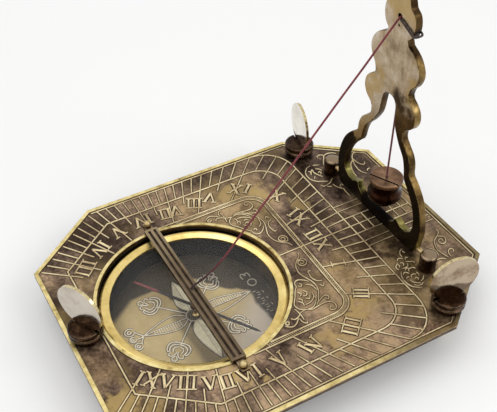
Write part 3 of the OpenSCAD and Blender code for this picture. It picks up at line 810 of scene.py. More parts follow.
def add_piece(name, mesh, material, body, angle=40, replaces=()):
    """Turns a bmesh into a piece that rides on a body."""
    bmesh.ops.recalc_face_normals(mesh, faces=mesh.faces)
    data = bpy.data.meshes.new(name)
    mesh.to_mesh(data)
    mesh.free()
    return finish_piece(name, data, material, body, angle, replaces)


def finish_piece(name, data, material, body, angle=40, replaces=()):
    data.materials.clear()
    data.materials.append(LOOKS[material])
    piece = add_object(name, data)
    data.shade_smooth()
    data.set_sharp_from_angle(angle=radians(angle))
    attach(piece, body)
    if replaces:
        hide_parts(*replaces)
    return piece


def add_pieces(listed):
    """Pieces of the base, each a name, the function that fills its mesh and a material."""
    for name, build, material in listed:
        mesh = bmesh.new()
        build(mesh)
        add_piece(name, mesh, material, "base")


# Dial
DIAL_Y = 0.25
A_INNER = (16.4, 25.4, 6.2, 30.95)
A_OUTER = (17.9, 25.6, 7.4, 32.6)
B_LINE = (29.35, 34.8, 9.6, 43.75)
C_LINE = (37.15, 38.8, 11.5, 51.4)
B_LEFT = -57.3
THIN_IN = 2.1
LADDER_END = 62.3
CUT_L = 26.8
CUT_W = 21.0
B_SLANT_Y, B_SLANT = 28.5, (20.8, 15.6)
LONGEST_RAY, HALVINGS = 110.0, 40
LINE_H = 0.24
LATITUDE_SHARE = 1.04
HALF_HOUR_LINE = 4.6
LADDER_HALF = 4.2
RUNG_START, RUNG_PITCH, RUNGS = 40.9, 3.56, 7
SIDE_LINES, SIDE_END = (8.45, 11.15), 64.6


def octagon(inset):
    x, y = HALF_L - inset, HALF_W - inset
    slope = hypot(CUT_L, CUT_W)
    cx = CUT_L - inset * (1 + (CUT_L - slope) / CUT_W)
    cy = CUT_W - inset * (1 + (CUT_W - slope) / CUT_L)
    return [(-x, cy - y), (cx - x, -y), (x - cx, -y), (x, cy - y),
            (x, y - cy), (x - cx, y), (cx - x, y), (-x, y - cy)]


def inside_polygon(x, y, polygon):
    for (ax, ay), (bx, by) in zip(polygon, polygon[1:] + polygon[:1]):
        if (bx - ax) * (y - ay) - (by - ay) * (x - ax) < 0:
            return False
    return True


def inside_frame(x, y, line):
    """Inside a frame line that is open to the left: right edge, corner start, radius, side."""
    right, corner_y, radius, side = line
    corner_x = right - radius
    top = side
    if x > right or abs(y) > top:
        return False
    if x > corner_x and abs(y) > corner_y:
        return hypot(x - corner_x, (abs(y) - corner_y) * radius / (top - corner_y)) < radius
    return True


def inside_b(x, y):
    slant = (abs(y) - B_SLANT_Y) * B_SLANT[0] < (x - B_LEFT) * B_SLANT[1]
    return inside_frame(x, y, B_LINE) and x > B_LEFT and (slant or abs(y) < B_SLANT_Y)


def inside_c(x, y):
    return inside_frame(x, y, C_LINE) and inside_polygon(x, y, octagon(THIN_IN))


def reach(angle, inside):
    """How far a ray from the string's foot runs before it leaves a region."""
    low, high = 0.0, LONGEST_RAY
    for _ in range(HALVINGS):
        middle = (low + high) / 2
        x, y = on_ray(angle, middle)
        if inside(x, y):
            low = middle
        else:
            high = middle
    return low


def on_ray(angle, distance):
    return FOOT[0] + distance * cos(angle), FOOT[1] + distance * sin(angle)


def hour_angle(hours):
    """Direction of an hour line from the noon line; hours are signed, near side negative."""
    turn = radians(15 * hours)
    return atan2(LATITUDE_SHARE * sin(turn), cos(turn))


def frame_path(line, left):
    right, corner_y, radius, side = line
    cx = right - radius
    bend = [(cx + radius * cos(radians(a)),
             corner_y + (side - corner_y) * sin(radians(a))) for a in range(0, 91, 9)]
    upper = bend + [(left, side)]
    return [(x, -y) for x, y in reversed(upper)] + upper


def frame_line(mesh, path, width=0.55, closed=False):
    dial_line(mesh, path, width, LINE_H, closed=closed, shift=DIAL_Y)


def hour_lines(mesh):
    for quarter in range(-38, 39):
        angle = hour_angle(quarter / 4)
        edge = reach(angle, inside_c)
        if quarter % 4 == 0:
            begin = max(LIP_R, reach(angle, lambda x, y: inside_frame(x, y, A_OUTER)))
            if abs(angle) > radians(89):
                begin = LIP_R
        elif quarter % 2 == 0:
            begin = reach(angle, inside_b) - HALF_HOUR_LINE
        else:
            begin = reach(angle, inside_b)
        if quarter == 0:
            begin = LIP_R
        frame_line(mesh, [on_ray(angle, begin), on_ray(angle, edge)], 0.52)


def frame_lines(mesh):
    frame_line(mesh, frame_path(A_INNER, FOOT[0]))
    frame_line(mesh, frame_path(A_OUTER, FOOT[0]))
    b_path = frame_path(B_LINE, -37.0) + [(B_LEFT, 28.3), (B_LEFT, -28.3)]
    frame_line(mesh, b_path, 0.6, closed=True)
    frame_line(mesh, frame_path(C_LINE, 25.0))
    dial_line(mesh, octagon(THIN_IN)[1:7], 0.5, LINE_H)


def rope_between_frames(mesh):
    """Fine slanting cuts between the two lines of the inner frame."""
    inner = resample(frame_path(A_INNER, FOOT[0]), 0.75)
    outer = frame_path(A_OUTER, FOOT[0])
    fine = resample(outer, 0.1)
    for i in range(1, len(inner) - 1):
        x, y = inner[i]
        best = min(range(len(fine)), key=lambda k: dist(fine[k], (x, y)))
        far = fine[min(len(fine) - 1, best + 9)]
        run = [(x + (far[0] - x) * t, y + (far[1] - y) * t) for t in (0.2, 0.5, 0.8)]
        if all(free_of(*p) for p in run):
            ridge(mesh, [(px, py + DIAL_Y) for px, py in run], 0.26, 0.14, TOP)


def noon_ladder(mesh):
    for y in (-LADDER_HALF, LADDER_HALF):
        frame_line(mesh, [(C_LINE[0], y), (LADDER_END, y)], 0.48)
    for k in range(RUNGS):
        x = RUNG_START + RUNG_PITCH * k
        frame_line(mesh, [(x, -LADDER_HALF), (x, LADDER_HALF)], 0.5)
    frame_line(mesh, [(C_LINE[0], 0), (LADDER_END, 0)], 0.48)
    for y in SIDE_LINES:
        for s in (-1, 1):
            frame_line(mesh, [(C_LINE[0], s * y), (SIDE_END, s * y)], 0.45)


# Numerals: glyphs of one run of strokes each, with the tops towards the string's foot
STROKE_HALF = 2.5
THICK, THIN, SERIF = 0.95, 0.62, 0.5
V_HALF, X_HALF, SERIF_HALF = 1.7, 1.65, 0.8
STROKE_H = 0.3
NUMERALS = [
    ("X", 0, 23.6, -2.5), ("I", 2, 23.5, 3.3), ("I", 2, 22.4, -27.7), ("I", 3, 11.9, -37.7),
    ("I", 1, -5.3, -38.1), ("V", 1, -1.7, -38), ("V", 1, -14.2, -38), ("V", 1, -26.1, -37.8),
    ("I", 1, -22.1, -38), ("V", 1, -36.5, -35.3), ("I", 2, -31.9, -37.2), ("V", 1, -47.3, -28.5),
    ("I", 3, -42.3, -31.8), ("I", 1, -54, -23.4), ("X", 0, -51.2, -25.7),
    ("X", 0, 23.6, 12.2), ("I", 1, 23.5, 16.6), ("X", 0, 22.9, 27.3), ("I", 1, 15.4, 36.2),
    ("X", 0, 11.4, 38.1), ("V", -1, 1.1, 38.6), ("I", 3, -5.4, 38.6), ("V", -1, -12.8, 38.3),
    ("I", 2, -16.8, 38.6), ("V", -1, -26.5, 39.2), ("I", 1, -23.1, 39.4), ("V", 1, -35.4, 38.2),
    ("V", 1, -44.9, 32.4), ("I", 1, -41.7, 34.6), ("I", 3, -51.4, 27.2)]


def numeral(mesh, letter, count, x, y):
    ux, uy = FOOT[0] - x, FOOT[1] - y
    length = hypot(ux, uy)
    ux, uy = ux / length, uy / length

    def stroke(a, b, width):
        ends = [(x + uy * p[0] + ux * p[1], y - ux * p[0] + uy * p[1]) for p in (a, b)]
        dial_line(mesh, ends, width, STROKE_H)

    top = STROKE_HALF
    if letter == "I":
        gap = 1.95 if count == 3 and x < 0 and abs(x) < 50 else 2.7
        half = gap * (count - 1) / 2
        for k in range(count):
            at = gap * k - half
            stroke((at, -top), (at, top), THICK if k == 0 else 0.8)
        for end in (-top, top):
            stroke((-half - 0.95, end), (half + 0.95, end), SERIF)
    elif letter == "V":
        stroke((-V_HALF * count, top), (0, -top), THICK)
        stroke((V_HALF * count, top), (0, -top), THIN)
        for side in (-V_HALF, V_HALF):
            stroke((side - SERIF_HALF, top), (side + SERIF_HALF, top), SERIF)
    else:
        stroke((-X_HALF, top), (X_HALF, -top), THICK)
        stroke((-X_HALF, -top), (X_HALF, top), THIN)
        for side in (-X_HALF, X_HALF):
            for end in (-top, top):
                stroke((side - SERIF_HALF, end), (side + SERIF_HALF, end), SERIF)


def numerals(mesh):
    for glyph in NUMERALS:
        numeral(mesh, *glyph)
    # One o'clock is its own hour line, with a serif at each end
    for x, y in ((21.2, -12.2), (25.5, -13.5)):
        dial_line(mesh, [(x + 0.35, y + 1.3), (x - 0.35, y - 1.3)], SERIF, 0.28)
    dial_line(mesh, [(21.2, -12.2), (25.5, -13.5)], 0.8, 0.3)


# Scrollwork: each stroke is a run of points, with spirals in between
SCROLL_INNER = [
    [(14.2, -1.8), (13.6, -3.4), (11.7, -5), (10.3, -6.8), (9.7, -8.7), (9.6, -10.5), (10.1, -12.3),
     (10.9, -14.3), (11.4, -16), (11.5, -18), (11, -19.8), (10, -21.6), (8.6, -23.6), (7.2, -25)],
    [(11.6, -5.1)] + spiral(12.9, -6.3, 1.9, 0.4, 62, -1.7),
    [(12.1, -11.7), (12.7, -10.9), (13.4, -11.2)],
    [(12.4, -11.4), (12, -13.8), (12.8, -15.9), (14.4, -16.8)],
    [(12.8, -17.8), (13.5, -19), (14.3, -18)],
    [(5.6, -14.9), (5.6, -13.9), (6.5, -12.8), (7.8, -12.7), (9.3, -13.7), (10.4, -15)],
    [(5.6, -14.9), (4, -16.7), (2.8, -18.7), (1.4, -20.5), (0.8, -22), (1.4, -23.7), (3.1, -24.9),
     (5.2, -25.2), (7, -24.3), (8.4, -22.5), (8.6, -21.4)],
    [(8.7, -15.6), (10.2, -16.7), (10.6, -18.4), (10.7, -19.6)],
    [(2.8, -20.8), (3.7, -22.2), (3.3, -23.6)],
    [(4, -23.1), (5.8, -23), (7.5, -22.1), (8.4, -21.1), (8.7, -19.6)],
    [(7, -14.2), (7.6, -15), (6.9, -15.6), (6.3, -14.9)],
    [(3.4, -19.8), (4.2, -20.9), (3.6, -21.8)], [(4.6, -17.4), (5.3, -18.4), (4.5, -19.2)],
    [(6.4, -17.4), (7.3, -18.6), (6.4, -19.8), (5.2, -19.4)], [(5.6, -20.8), (6.6, -21.4), (7.4, -20.4)],
    [(1.1, -25.2), (-0.7, -26.4), (-2.2, -26.7), (-2.9, -25.9), (-3, -26.5)],
    [(-1, -27), (-2.5, -28.4), (-4, -29), (-5.4, -28.4), (-6.2, -27.6)],
    spiral(-5, -27.1, 0.8, 0.4, 0, 1.1),
    [(0.1, -23.1), (0.4, -24.9), (0.5, -26.7), (0.3, -28.4)],
    [(-0.7, -27.2), (-0.4, -29.1), (0.6, -29.9), (0.9, -29.3)],
    [(1.1, -25.2), (3.1, -24.9), (4.9, -25.8), (6.7, -25.6), (9.3, -25.3), (11.3, -25.6),
     (12.5, -26.9), (12.2, -28.7), (11, -29.4), (10, -28.7), (10.5, -27.7), (11.3, -28)],
    [(8.4, -24.1), (9.9, -23.3), (11.6, -22.7), (12.5, -23.5), (11.9, -24.6), (11.2, -24.1)],
]

SCROLL_POST = [
    [(39.3, -26.6), (38.4, -28), (37.9, -29.8), (38, -32), (38.5, -33.4), (39.3, -34.3), (41, -35.5)],
    [(39.2, -27.9), (39.9, -27.3), (40.7, -27.5), (41.3, -28.4)],
    [(41.8, -27.7), (42.2, -26.8), (43.1, -26.6), (44, -26.7), (44.6, -27.5)],
    [(39.7, -30.9), (40.2, -32.2), (41, -33.1), (41.9, -33.7)],
    [(40.9, -30.4), (41.3, -29.4), (42.3, -29.3), (43.1, -29.8)],
    [(42.6, -33), (43.9, -32.5), (44.8, -31.4)],
    [(41.3, -31.4), (42, -30.9), (42.6, -31.6), (42, -32.2)],
    [(39.2, -25.4), (39, -24.3), (39.7, -23.3), (40.9, -22.6)],
    [(40, -24.7), (40.6, -23.9), (40.3, -23.2)],
    [(40.7, -25.5), (42.1, -25.6), (43.2, -25.1), (43.5, -24.3)],
    [(41.3, -21.7), (42.1, -21), (43, -21.2), (43.6, -21.8)],
    [(43.6, -23.3), (44.9, -24.1), (46, -24.8), (45.6, -25.5)],
    [(43.9, -20.9), (44, -19.6), (44.8, -18.4), (46.1, -17.7)],
    [(45.6, -18.6), (45.8, -19.8)], [(44, -22.7), (44.7, -21.6), (45.3, -22.2)],
    [(38.9, -30.2), (39.6, -29.4), (40.3, -29.7)],
    [(39.6, -33.2), (40.5, -34.2), (41.8, -34.4), (42.8, -33.9)],
    [(41.6, -24.6), (42.4, -23.9), (42.1, -23.0), (41.3, -23.2)],
    [(43.4, -30.9), (43.9, -30.0), (43.7, -29.0)], [(40.9, -26.7), (41.8, -26.0), (42.6, -26.3)],
]

SCROLL_CORNER = [
    [(62.1, -16), (62.3, -16.9), (61.5, -18), (59.7, -19.2), (58.1, -20.2), (57.2, -21.7),
     (56.5, -23.3), (56.4, -25.1), (56.8, -26.9), (57.3, -28.8)],
    [(60.6, -18.9), (62, -19.7), (62.3, -20.6), (62, -21.6), (61, -22.6), (59.8, -22.7), (59.2, -21.9),
     (59.4, -20.9), (60.3, -20.4), (61, -20.9), (60.5, -21.6)],
    [(58.4, -29.1), (58.6, -27.6), (59.4, -26.3), (60.5, -25.9), (61.1, -26.6), (60.9, -27.3),
     (60.2, -27.5)],
    [(51.8, -29.6), (52.4, -28.4), (53.6, -27.9), (54.9, -28.1), (56.1, -29.1)],
    [(54.2, -22.2), (55.3, -23.5), (55.5, -25.1), (54.9, -26.7)],
]

SCROLL_FAR_POST = [
    [(42.7, 35.9), (40.9, 35.4), (39.6, 34.2), (38.7, 32.6), (38.4, 30.9), (38.7, 28.8), (40.1, 26.8),
     (41.8, 25.9), (43.6, 25)],
    [(40.2, 31), (40.7, 32.4), (42, 33.5), (41.8, 31.8), (42.4, 30), (43.3, 28.2)],
    [(40.9, 29.7), (39.9, 28.3)], [(43, 30.6), (43.8, 31.3), (44.1, 30.2), (43.2, 29.6)],
    [(40.2, 33.4), (41, 32.6), (40.4, 31.6)], [(43.4, 33.4), (44.6, 32.6), (45, 31.4)],
    [(40.1, 24.4), (40.9, 23.2), (42.7, 23.4), (44.2, 24.1), (45.9, 25.6)],
    [(41.8, 22.5), (42.8, 22), (43.4, 21.8)], [(43.6, 35.6), (46.1, 34.7)],
    [(44.3, 22.6), (44.8, 20.6), (45.9, 19.1), (46.4, 18.4), (46.2, 16.8), (46.2, 13.8)],
    [(45.9, 19.1), (46.2, 20.6), (47, 21), (47.3, 20)],
    [(47.7, 38.2), (47.9, 39.4), (49.4, 39.7), (50.4, 38.6), (48.7, 36), (47.2, 33.6)],
    [(50.4, 38.5), (52.1, 39.1), (54.2, 38.5), (55.4, 37.4)],
]

SCROLL_FAR_CORNER = [
    [(63, 34.1), (61.5, 34.3), (60.1, 33.2), (59.2, 31.8), (58, 28.8), (57.6, 26.8), (57.4, 24.4),
     (58.3, 22.1), (58.9, 21.5)],
    [(59.2, 31.2), (59.5, 28.5), (60.4, 26.8), (61.5, 26.8), (62, 27.8)],
    [(59.2, 31.2), (56.5, 28.8), (54.8, 24.7), (54.6, 22.1)],
    [(59.8, 22.6), (60.6, 23.5), (61.6, 23.6)],
]

# The far side's copy of the inner scrolls lies a little off the mirror's place
MIRROR_X, MIRROR_Y = 0.2, 0.4


def scrollwork(mesh):
    strokes = SCROLL_INNER + [[(x + MIRROR_X, MIRROR_Y - y) for x, y in stroke] for stroke in SCROLL_INNER]
    strokes += SCROLL_POST + SCROLL_CORNER + SCROLL_FAR_POST + SCROLL_FAR_CORNER
    for stroke in strokes:
        dial_line(mesh, smooth(stroke, 4), 0.5, LINE_H, taper=0.3)


def make_dial():
    listed = (("dial_hour_lines", hour_lines), ("dial_frames", frame_lines),
              ("dial_rope_border", rope_between_frames), ("dial_ladder", noon_ladder),
              ("dial_numerals", numerals), ("dial_scrollwork", scrollwork))
    add_pieces([(name, build, "raised_brass") for name, build in listed])


# Compass card
ROSE = (FOOT[0] - 0.62, FOOT[1] + 0.22)
LEAF_LENGTHS = [21.7, 17.3, 18.3, 20.3]
LEAF_SHAPE = [(0, 0.5), (0.1, 2.0), (0.27, 3.15), (0.5, 2.8), (0.7, 1.9), (0.86, 1.0), (1, 0)]
LEAF_START = 2.4
# The last height is the painted shadow band beside the card's lines
CARD_LINE_H, HATCH_H, LINE_SHADOW_H = 0.18, 0.14, 0.05
HATCH_START, HATCH_END, HATCH_PITCH = 5.4, 3.4, 0.84


def turned(points, angle):
    c, s = cos(radians(angle)), sin(radians(angle))
    return [(ROSE[0] + x * c - y * s, ROSE[1] + x * s + y * c) for x, y in points]


def leaf_side(quarter, sign):
    span = LEAF_LENGTHS[quarter] - LEAF_START
    return smooth([(LEAF_START + f * span, sign * w) for f, w in LEAF_SHAPE], 5)


def flat_patch(mesh, outline, base, height):
    """A thin raised patch inside an outline."""
    low = [point(mesh, x, y, base - 0.02) for x, y in outline]
    top = [point(mesh, x, y, base + height) for x, y in outline]
    mesh.faces.new(top)
    mesh.faces.new(tuple(reversed(low)))
    stitch(mesh, low, top)


def half_leaf(quarter, sign, share=0.94):
    side = [(x, y * share) for x, y in leaf_side(quarter, sign)]
    return turned([(LEAF_START, 0)] + side, 90 * quarter)


def rose_leaves(mesh):
    """The leaves along the card's Y, with one plain pale half and one hatched half."""
    for quarter in (1, 3):
        flat_patch(mesh, half_leaf(quarter, -1), CARD_TOP, 0.08)
        flat_patch(mesh, half_leaf(quarter, 1), CARD_TOP, 0.05)


def half_width(quarter, x):
    side = leaf_side(quarter, 1)
    for (ax, ay), (bx, by) in zip(side, side[1:]):
        if ax <= x <= bx:
            return ay + (by - ay) * (x - ax) / (bx - ax)
    return 0.0


def leaf_strokes():
    """Outline, midrib and hatching, as runs of points with a width."""
    found = []
    for quarter, length in enumerate(LEAF_LENGTHS):
        angle = 90 * quarter
        for sign in (-1, 1):
            found.append((turned(leaf_side(quarter, sign), angle), 0.34))
        found.append((turned([(LEAF_START, 0), (10, 0), (length, 0)], angle), 0.28))
        found.append((turned([(2.8, 0), (8, 0), (13.4, 0)], angle + 45), 0.42))
    return found


def hatch_strokes():
    found = []
    for quarter, length in enumerate(LEAF_LENGTHS):
        x = HATCH_START
        while x < length - HATCH_END:
            half = half_width(quarter, x) * 0.8
            found.append((turned([(x, 0.12), (x, half * 0.5), (x, half)], 90 * quarter), 0.4))
            x += HATCH_PITCH
    return found


def tulip_strokes(angle):
    """A flower opening outwards: three nested petals to each side and a round bud between."""
    found = []
    for s in (-1, 1):
        found.append([(12.7, 0), (12.6, s * 1.6), (13.2, s * 3.1), (14.6, s * 3.9), (16.2, s * 3.7)])
        found.append([(13.4, s * 0.2), (13.6, s * 1.6), (14.4, s * 2.7), (15.6, s * 2.9), (16.8, s * 2.5)])
        found.append([(14.3, s * 0.3), (14.7, s * 1.3), (15.6, s * 1.7), (16.8, s * 1.4)])
        found.append([(16.2, s * 3.7), (17, s * 3.2), (16.8, s * 2.5)])
        found.append([(16.4, s * 0.3), (17.6, s * 0.5), (18.6, s * 1.4), (18.3, s * 2.5), (17.3, s * 2.2)])
        found.append([(18.2, s * 0.2), (19.3, s * 0.9), (20, s * 0.5), (20.2, 0)])
    return [(turned(smooth(run, 4), angle), 0.42) for run in found]


def trefoil_strokes():
    """Three curls beyond the leaf that points to the card's left edge."""
    found = []
    for cx, cy, radius in ((22, -3.5, 1.6), (22.1, -0.1, 1.1), (21.5, 3.3, 1.35)):
        found.append(arc(cx, cy, radius, -150, 140, 16))
        found.append(arc(cx + 0.15, cy, radius * 0.4, -120, 170, 10))
    found.append(smooth([(18.4, 0), (19.4, -1.2), (20.3, -2.4), (20.6, -3.4)], 4))
    found.append(smooth([(18.4, 0), (19.3, 1.2), (20, 2.2), (20.2, 3.2)], 4))
    found.append(smooth([(18.4, 0), (19.8, 0.4), (21, 0.2)], 4))
    return [(turned(run, 180), 0.44) for run in found]


def degree_strokes():
    """Part of a generic degree scale, with its number at 30 degrees."""
    found = []
    for k in range(11):
        x = 22.2 if k % 3 == 0 else 23.2
        y = -0.7 - 1.05 * k
        found.append(([(x, y), (x + 0.5, y - 0.05), (x + 1.1, y - 0.1)], 0.4))
        if k % 3 == 1:
            found.append(([(25.4, y), (25.6, y - 0.5), (25.5, y - 1.0)], 0.4))
    three = [(1.2, 1.4), (0.4, 1.6), (-0.8, 1.3), (-0.9, 0.5), (0, 0.1), (-1, -0.3), (-1.1, -1.2),
             (0.1, -1.6), (1.2, -1.3)]
    found.append(([(23.6 + y, 7.4 - x) for x, y in smooth(three, 3)], 0.5))
    found.append(([(24.3 + y * 1.5, 3.5 - x * 1.55) for x, y in arc(0, 0, 1, 0, 360, 20)], 0.5))
    return [(turned(run, 0), width) for run, width in found]


def card_strokes():
    found = leaf_strokes() + trefoil_strokes() + degree_strokes()
    for quarter in range(4):
        found += tulip_strokes(90 * quarter + 45)
    return found


def card_lines(mesh):
    for run, width in card_strokes():
        ridge(mesh, run, width + 0.06, CARD_LINE_H, CARD_TOP)
    ridge(mesh, turned(arc(0, 0, 2.6, 0, 351, 39), 0), 0.45, CARD_LINE_H, CARD_TOP, closed=True)


def card_hatching(mesh):
    for run, width in hatch_strokes():
        ridge(mesh, run, width, HATCH_H, CARD_TOP)


def card_line_shadows(mesh):
    """Painted shadow: a dark low band along both sides of each raised line."""
    for run, width in card_strokes():
        ridge(mesh, run, width + 0.65, LINE_SHADOW_H, CARD_TOP)


def make_card():
    add_pieces((("card_rose_leaves", rose_leaves, "card_leaf"),
                        ("card_lines", card_lines, "card_line"),
                        ("card_hatching", card_hatching, "card_hatch"),
                        ("card_line_shadows", card_line_shadows, "card_shadow_band")))


# Bracket
FINIAL = [(0, 89.6), (1.9, 89.1), (3.1, 87.4), (3.4, 85.2), (4.4, 82.5)]
LOBE_1 = [(4.9, 82), (6.6, 80.7), (7.4, 77.7), (6.6, 74.4), (4.8, 72.5)]
LOBE_2 = [(5.4, 71.1), (8.9, 69.2), (11.3, 66.4), (12, 63.6), (11, 60.6), (9.2, 58.4), (8.5, 56)]
LOBE_3 = [(9, 54.9), (11.2, 53.3), (12.8, 51.2), (13.1, 48.4), (11.8, 45.8), (9.4, 44.1)]
LOBE_4 = [(8.5, 42.6), (8.6, 40.2), (10.6, 38), (12.9, 35.7), (14.1, 33), (14.4, 30)]
LEG = [(14.9, 28.9), (17.9, 26.4), (21.1, 22.4), (23.3, 16.8), (24, 11), (23.6, 7.4),
       (23.2, 4.2), (22.2, 1.9), (20.6, 1.2)]
ARCH = [(0, 51.9), (1.8, 51.5), (3, 50.1), (3.5, 47.6), (4.2, 43), (5.6, 40), (7.6, 37), (10, 34.2),
        (11.3, 31), (11.9, 27.8)]
LEG_INSIDE = [(12.5, 26.2), (14.6, 24), (17.2, 20.8), (19.3, 16.4), (19.9, 12), (19.2, 9), (17, 7.4)]
FOOT_SCROLL = [(14.2, 7.2), (11.4, 8.6), (10.2, 6.6), (8, 5.1), (5, 4.6), (0, 4.5)]
BRACKET_T = 2.5
BRACKET_EDGE = 0.22
HOLE_Z = 78.0


def both_sides(half):
    return half + [(-y, z) for y, z in reversed(half) if y > 0]


def bracket_outlines():
    outer = []
    for part in (FINIAL, LOBE_1, LOBE_2, LOBE_3, LOBE_4, LEG):
        outer += smooth(part, 6)
    inner = smooth(ARCH, 5) + smooth(LEG_INSIDE, 5) + smooth(FOOT_SCROLL, 4)
    hole = arc(0, HOLE_Z, 0.9, 0, 345, 23)
    pin_hole = arc(0, HOLE_Z - 2.7, 0.3, 0, 330, 11)
    return [both_sides(outer), both_sides(inner), hole, pin_hole]


def make_bracket():
    data = bpy.data.curves.new("bracket_outline", "CURVE")
    data.dimensions = "2D"
    data.fill_mode = "BOTH"
    data.extrude = (BRACKET_T / 2 - BRACKET_EDGE) * MM
    data.bevel_depth = BRACKET_EDGE * MM
    data.bevel_resolution = 2
    data.offset = -BRACKET_EDGE * MM
    for outline in bracket_outlines():
        spline = data.splines.new("POLY")
        spline.points.add(len(outline) - 1)
        for point, (y, z) in zip(spline.points, outline):
            point.co = (y * MM, z * MM, 0, 1)
        spline.use_cyclic_u = True
    curve = add_object("bracket_outline", data)
    bpy.context.view_layer.update()
    shape = curve.evaluated_get(bpy.context.evaluated_depsgraph_get())
    mesh = bpy.data.meshes.new_from_object(shape)
    bpy.data.objects.remove(curve)
    for vertex in mesh.vertices:
        y, z, x = vertex.co
        vertex.co = (x + HINGE_X * MM, y, z + TOP * MM)
    mesh.name = "bracket"
    finish_piece("bracket", mesh, "bracket_satin", "bracket", 35, ("bracket_frame",))


# Bob: half widths and heights over the plate, from the cap down
BOB_PROFILE = [(3.7, 16.2), (5.35, 16.2), (5.3, 15.9), (5.15, 15.2), (5.1, 14.2), (5.2, 13.2), (5.5, 12.4),
               (5.85, 11.9), (6.0, 11.3), (6.0, 10.2), (5.95, 9.7), (5.7, 9.35), (5.2, 9.2), (5.0, 9.0),
               (4.85, 8.4), (4.4, 7.7), (3.7, 7.0), (2.8, 6.4), (1.7, 5.85), (0.7, 5.45), (0.0, 5.3)]
BOB_SIDES = 64


def make_bob():
    """The turned body: a waisted barrel, a thick rounded flange and a dome under it."""
    mesh = bmesh.new()
    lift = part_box("bob_cap")[1].z / MM - BOB_CAP_T - BOB_PROFILE[0][1]
    rings = []
    for radius, height in BOB_PROFILE[:-1]:
        angles = [2 * pi * k / BOB_SIDES for k in range(BOB_SIDES)]
        rings.append([point(mesh, PLUMB_X + radius * cos(a), radius * sin(a), height + lift)
                      for a in angles])
    for a, b in zip(rings, rings[1:]):
        stitch(mesh, a, b)
    tip = point(mesh, PLUMB_X, 0, BOB_PROFILE[-1][1] + lift)
    for k in range(BOB_SIDES):
        mesh.faces.new((rings[-1][k], rings[-1][(k + 1) % BOB_SIDES], tip))
    mesh.faces.new(tuple(reversed(rings[0])))
    add_piece("bob_drum", mesh, "bob_bronze", "plumb", 40, ("bob_body",))


# Cords
STRING_ROUTE = [(-25.2, 0, 0), (-25.2, 0, 0.9), (-25.15, 0, 1.7), (-24.8, 0, 2.3), (-23.9, 0, 2.8),
                (-22.4, 0, 3.4), (-20.4, 0, 4.3), (-16.2, 0, 6.9), (-12, 0, 10.8), (-7, 0, 16.6),
                (-1, 0, 23.2), (8, 0, 33.4), (18, 0, 44.9), (28, 0, 56.4), (36, 0, 65.4),
                (44, 0, 74.8), (46.2, 0, 77.3), (47, 0, 77.8), (48, 0, 78), (49, 0, 78)]
WRAP_ROUTE = [(46.3, -0.9, 77.7), (46.3, -3.6, 76.7), (46.3, -6.4, 75.6), (46.4, -7.3, 75.3),
              (47.1, -7.8, 75.1), (48.9, -7.8, 75.1), (49.6, -7.3, 75.2), (49.7, -6.2, 75.6),
              (49.7, -3.8, 76.4), (49.8, -1.3, 77.3)]
CORD_R = 0.35
STRANDS = 3
CORD_ANGLE = 80
KNOTS = [
    ("foot_knot", "lower_knot", "base", "maroon_cord", "gnomon_cord"),
    ("plumb_line_knot", "plumb_knot", NODES["plumb_knot"]["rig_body"], "plumb_cord", "dark_cord"),
    ("bob_line_knot", "bob_knot", "plumb", "plumb_cord", "dark_cord")]


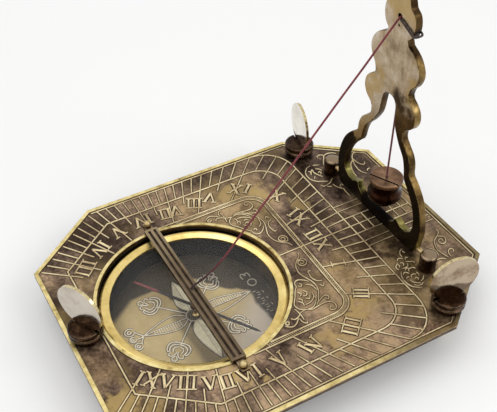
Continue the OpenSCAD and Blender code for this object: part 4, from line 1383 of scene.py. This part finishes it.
def twisted(mesh, route, radius, lay, pitch=0.3, sides=15, lift=TOP, groove=0.16):
    """A cord of twisted strands along a route, in millimetres above the plate."""
    points = [Vector(p) + Vector((0, 0, lift)) for p in even(route, pitch)]
    side = None
    rings = []
    travelled = 0.0
    for i, p in enumerate(points):
        heading = (points[min(len(points) - 1, i + 1)] - points[max(0, i - 1)]).normalized()
        if side is None:
            side = heading.orthogonal().normalized()
        side = (side - heading * side.dot(heading)).normalized()
        other = heading.cross(side)
        if i:
            travelled += (p - points[i - 1]).length
        twist = 2 * pi * travelled / lay
        ring = []
        for k in range(sides):
            a = 2 * pi * k / sides
            r = radius * (1 - groove * (0.5 + 0.5 * cos(STRANDS * (a - twist))) ** 2)
            ring.append(mesh.verts.new((p + (side * cos(a) + other * sin(a)) * r) * MM))
        rings.append(ring)
    for a, b in zip(rings, rings[1:]):
        stitch(mesh, a, b)
    mesh.faces.new(tuple(reversed(rings[0])))
    mesh.faces.new(rings[-1])


def even(route, pitch):
    """Points a set distance apart along a run of straight pieces."""
    found = [tuple(route[0])]
    for a, b in zip(route, route[1:]):
        count = max(1, round(dist(a, b) / pitch))
        for k in range(1, count + 1):
            found.append(tuple(p + (q - p) * k / count for p, q in zip(a, b)))
    return found


def knot_route(centre, size):
    """A closed overhand knot round a centre."""
    cx, cy, cz = centre
    found = []
    for k in range(49):
        t = 2 * pi * k / 48
        ring = size * (0.62 + 0.3 * cos(3 * t))
        found.append((cx + ring * cos(2 * t), cy + ring * sin(2 * t),
                      cz + size * 0.42 * sin(3 * t)))
    return found


def cord(name, route, lay, material, body, replaced, lift=TOP):
    mesh = bmesh.new()
    twisted(mesh, route, CORD_R, lay, lift=lift)
    return add_piece(name, mesh, material, body, CORD_ANGLE, (replaced,))


def make_strings():
    string = cord("shadow_string", smooth(STRING_ROUTE, 6), 2.4, "maroon_cord", "base",
                  "gnomon_string")
    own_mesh(string)
    cord("wrapped_string", smooth(WRAP_ROUTE, 8), 2.0, "black_cord", "bracket", "string_wrap")
    ends = [(PLUMB_X, 0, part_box("plumb_string")[0].z / MM), (PLUMB_X, 0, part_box("plumb_string")[1].z / MM)]
    cord("plumb_line", ends, 2.4, "plumb_cord", "plumb", "plumb_string", 0)


def make_knots():
    for name, node_name, body, material, slot in KNOTS:
        low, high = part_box(node_name)
        centre = (low + high) / 2 / MM
        size = (high.z - low.z) / 2 / MM
        mesh = bmesh.new()
        twisted(mesh, knot_route(centre, size * 0.8), size * 0.34, 1.2, 0.12, 10, 0)
        add_piece(name, mesh, material, body, CORD_ANGLE, (node_name,))


# The scene
bpy.context.scene.view_settings.view_transform = "Standard"
make_camera()
make_world()
for lamp_facts in LAMPS:
    area_lamp(*lamp_facts)
make_materials()
make_floor()
paint_cad()
make_dial()
make_card()
make_bracket()
make_bob()
make_strings()
make_knots()
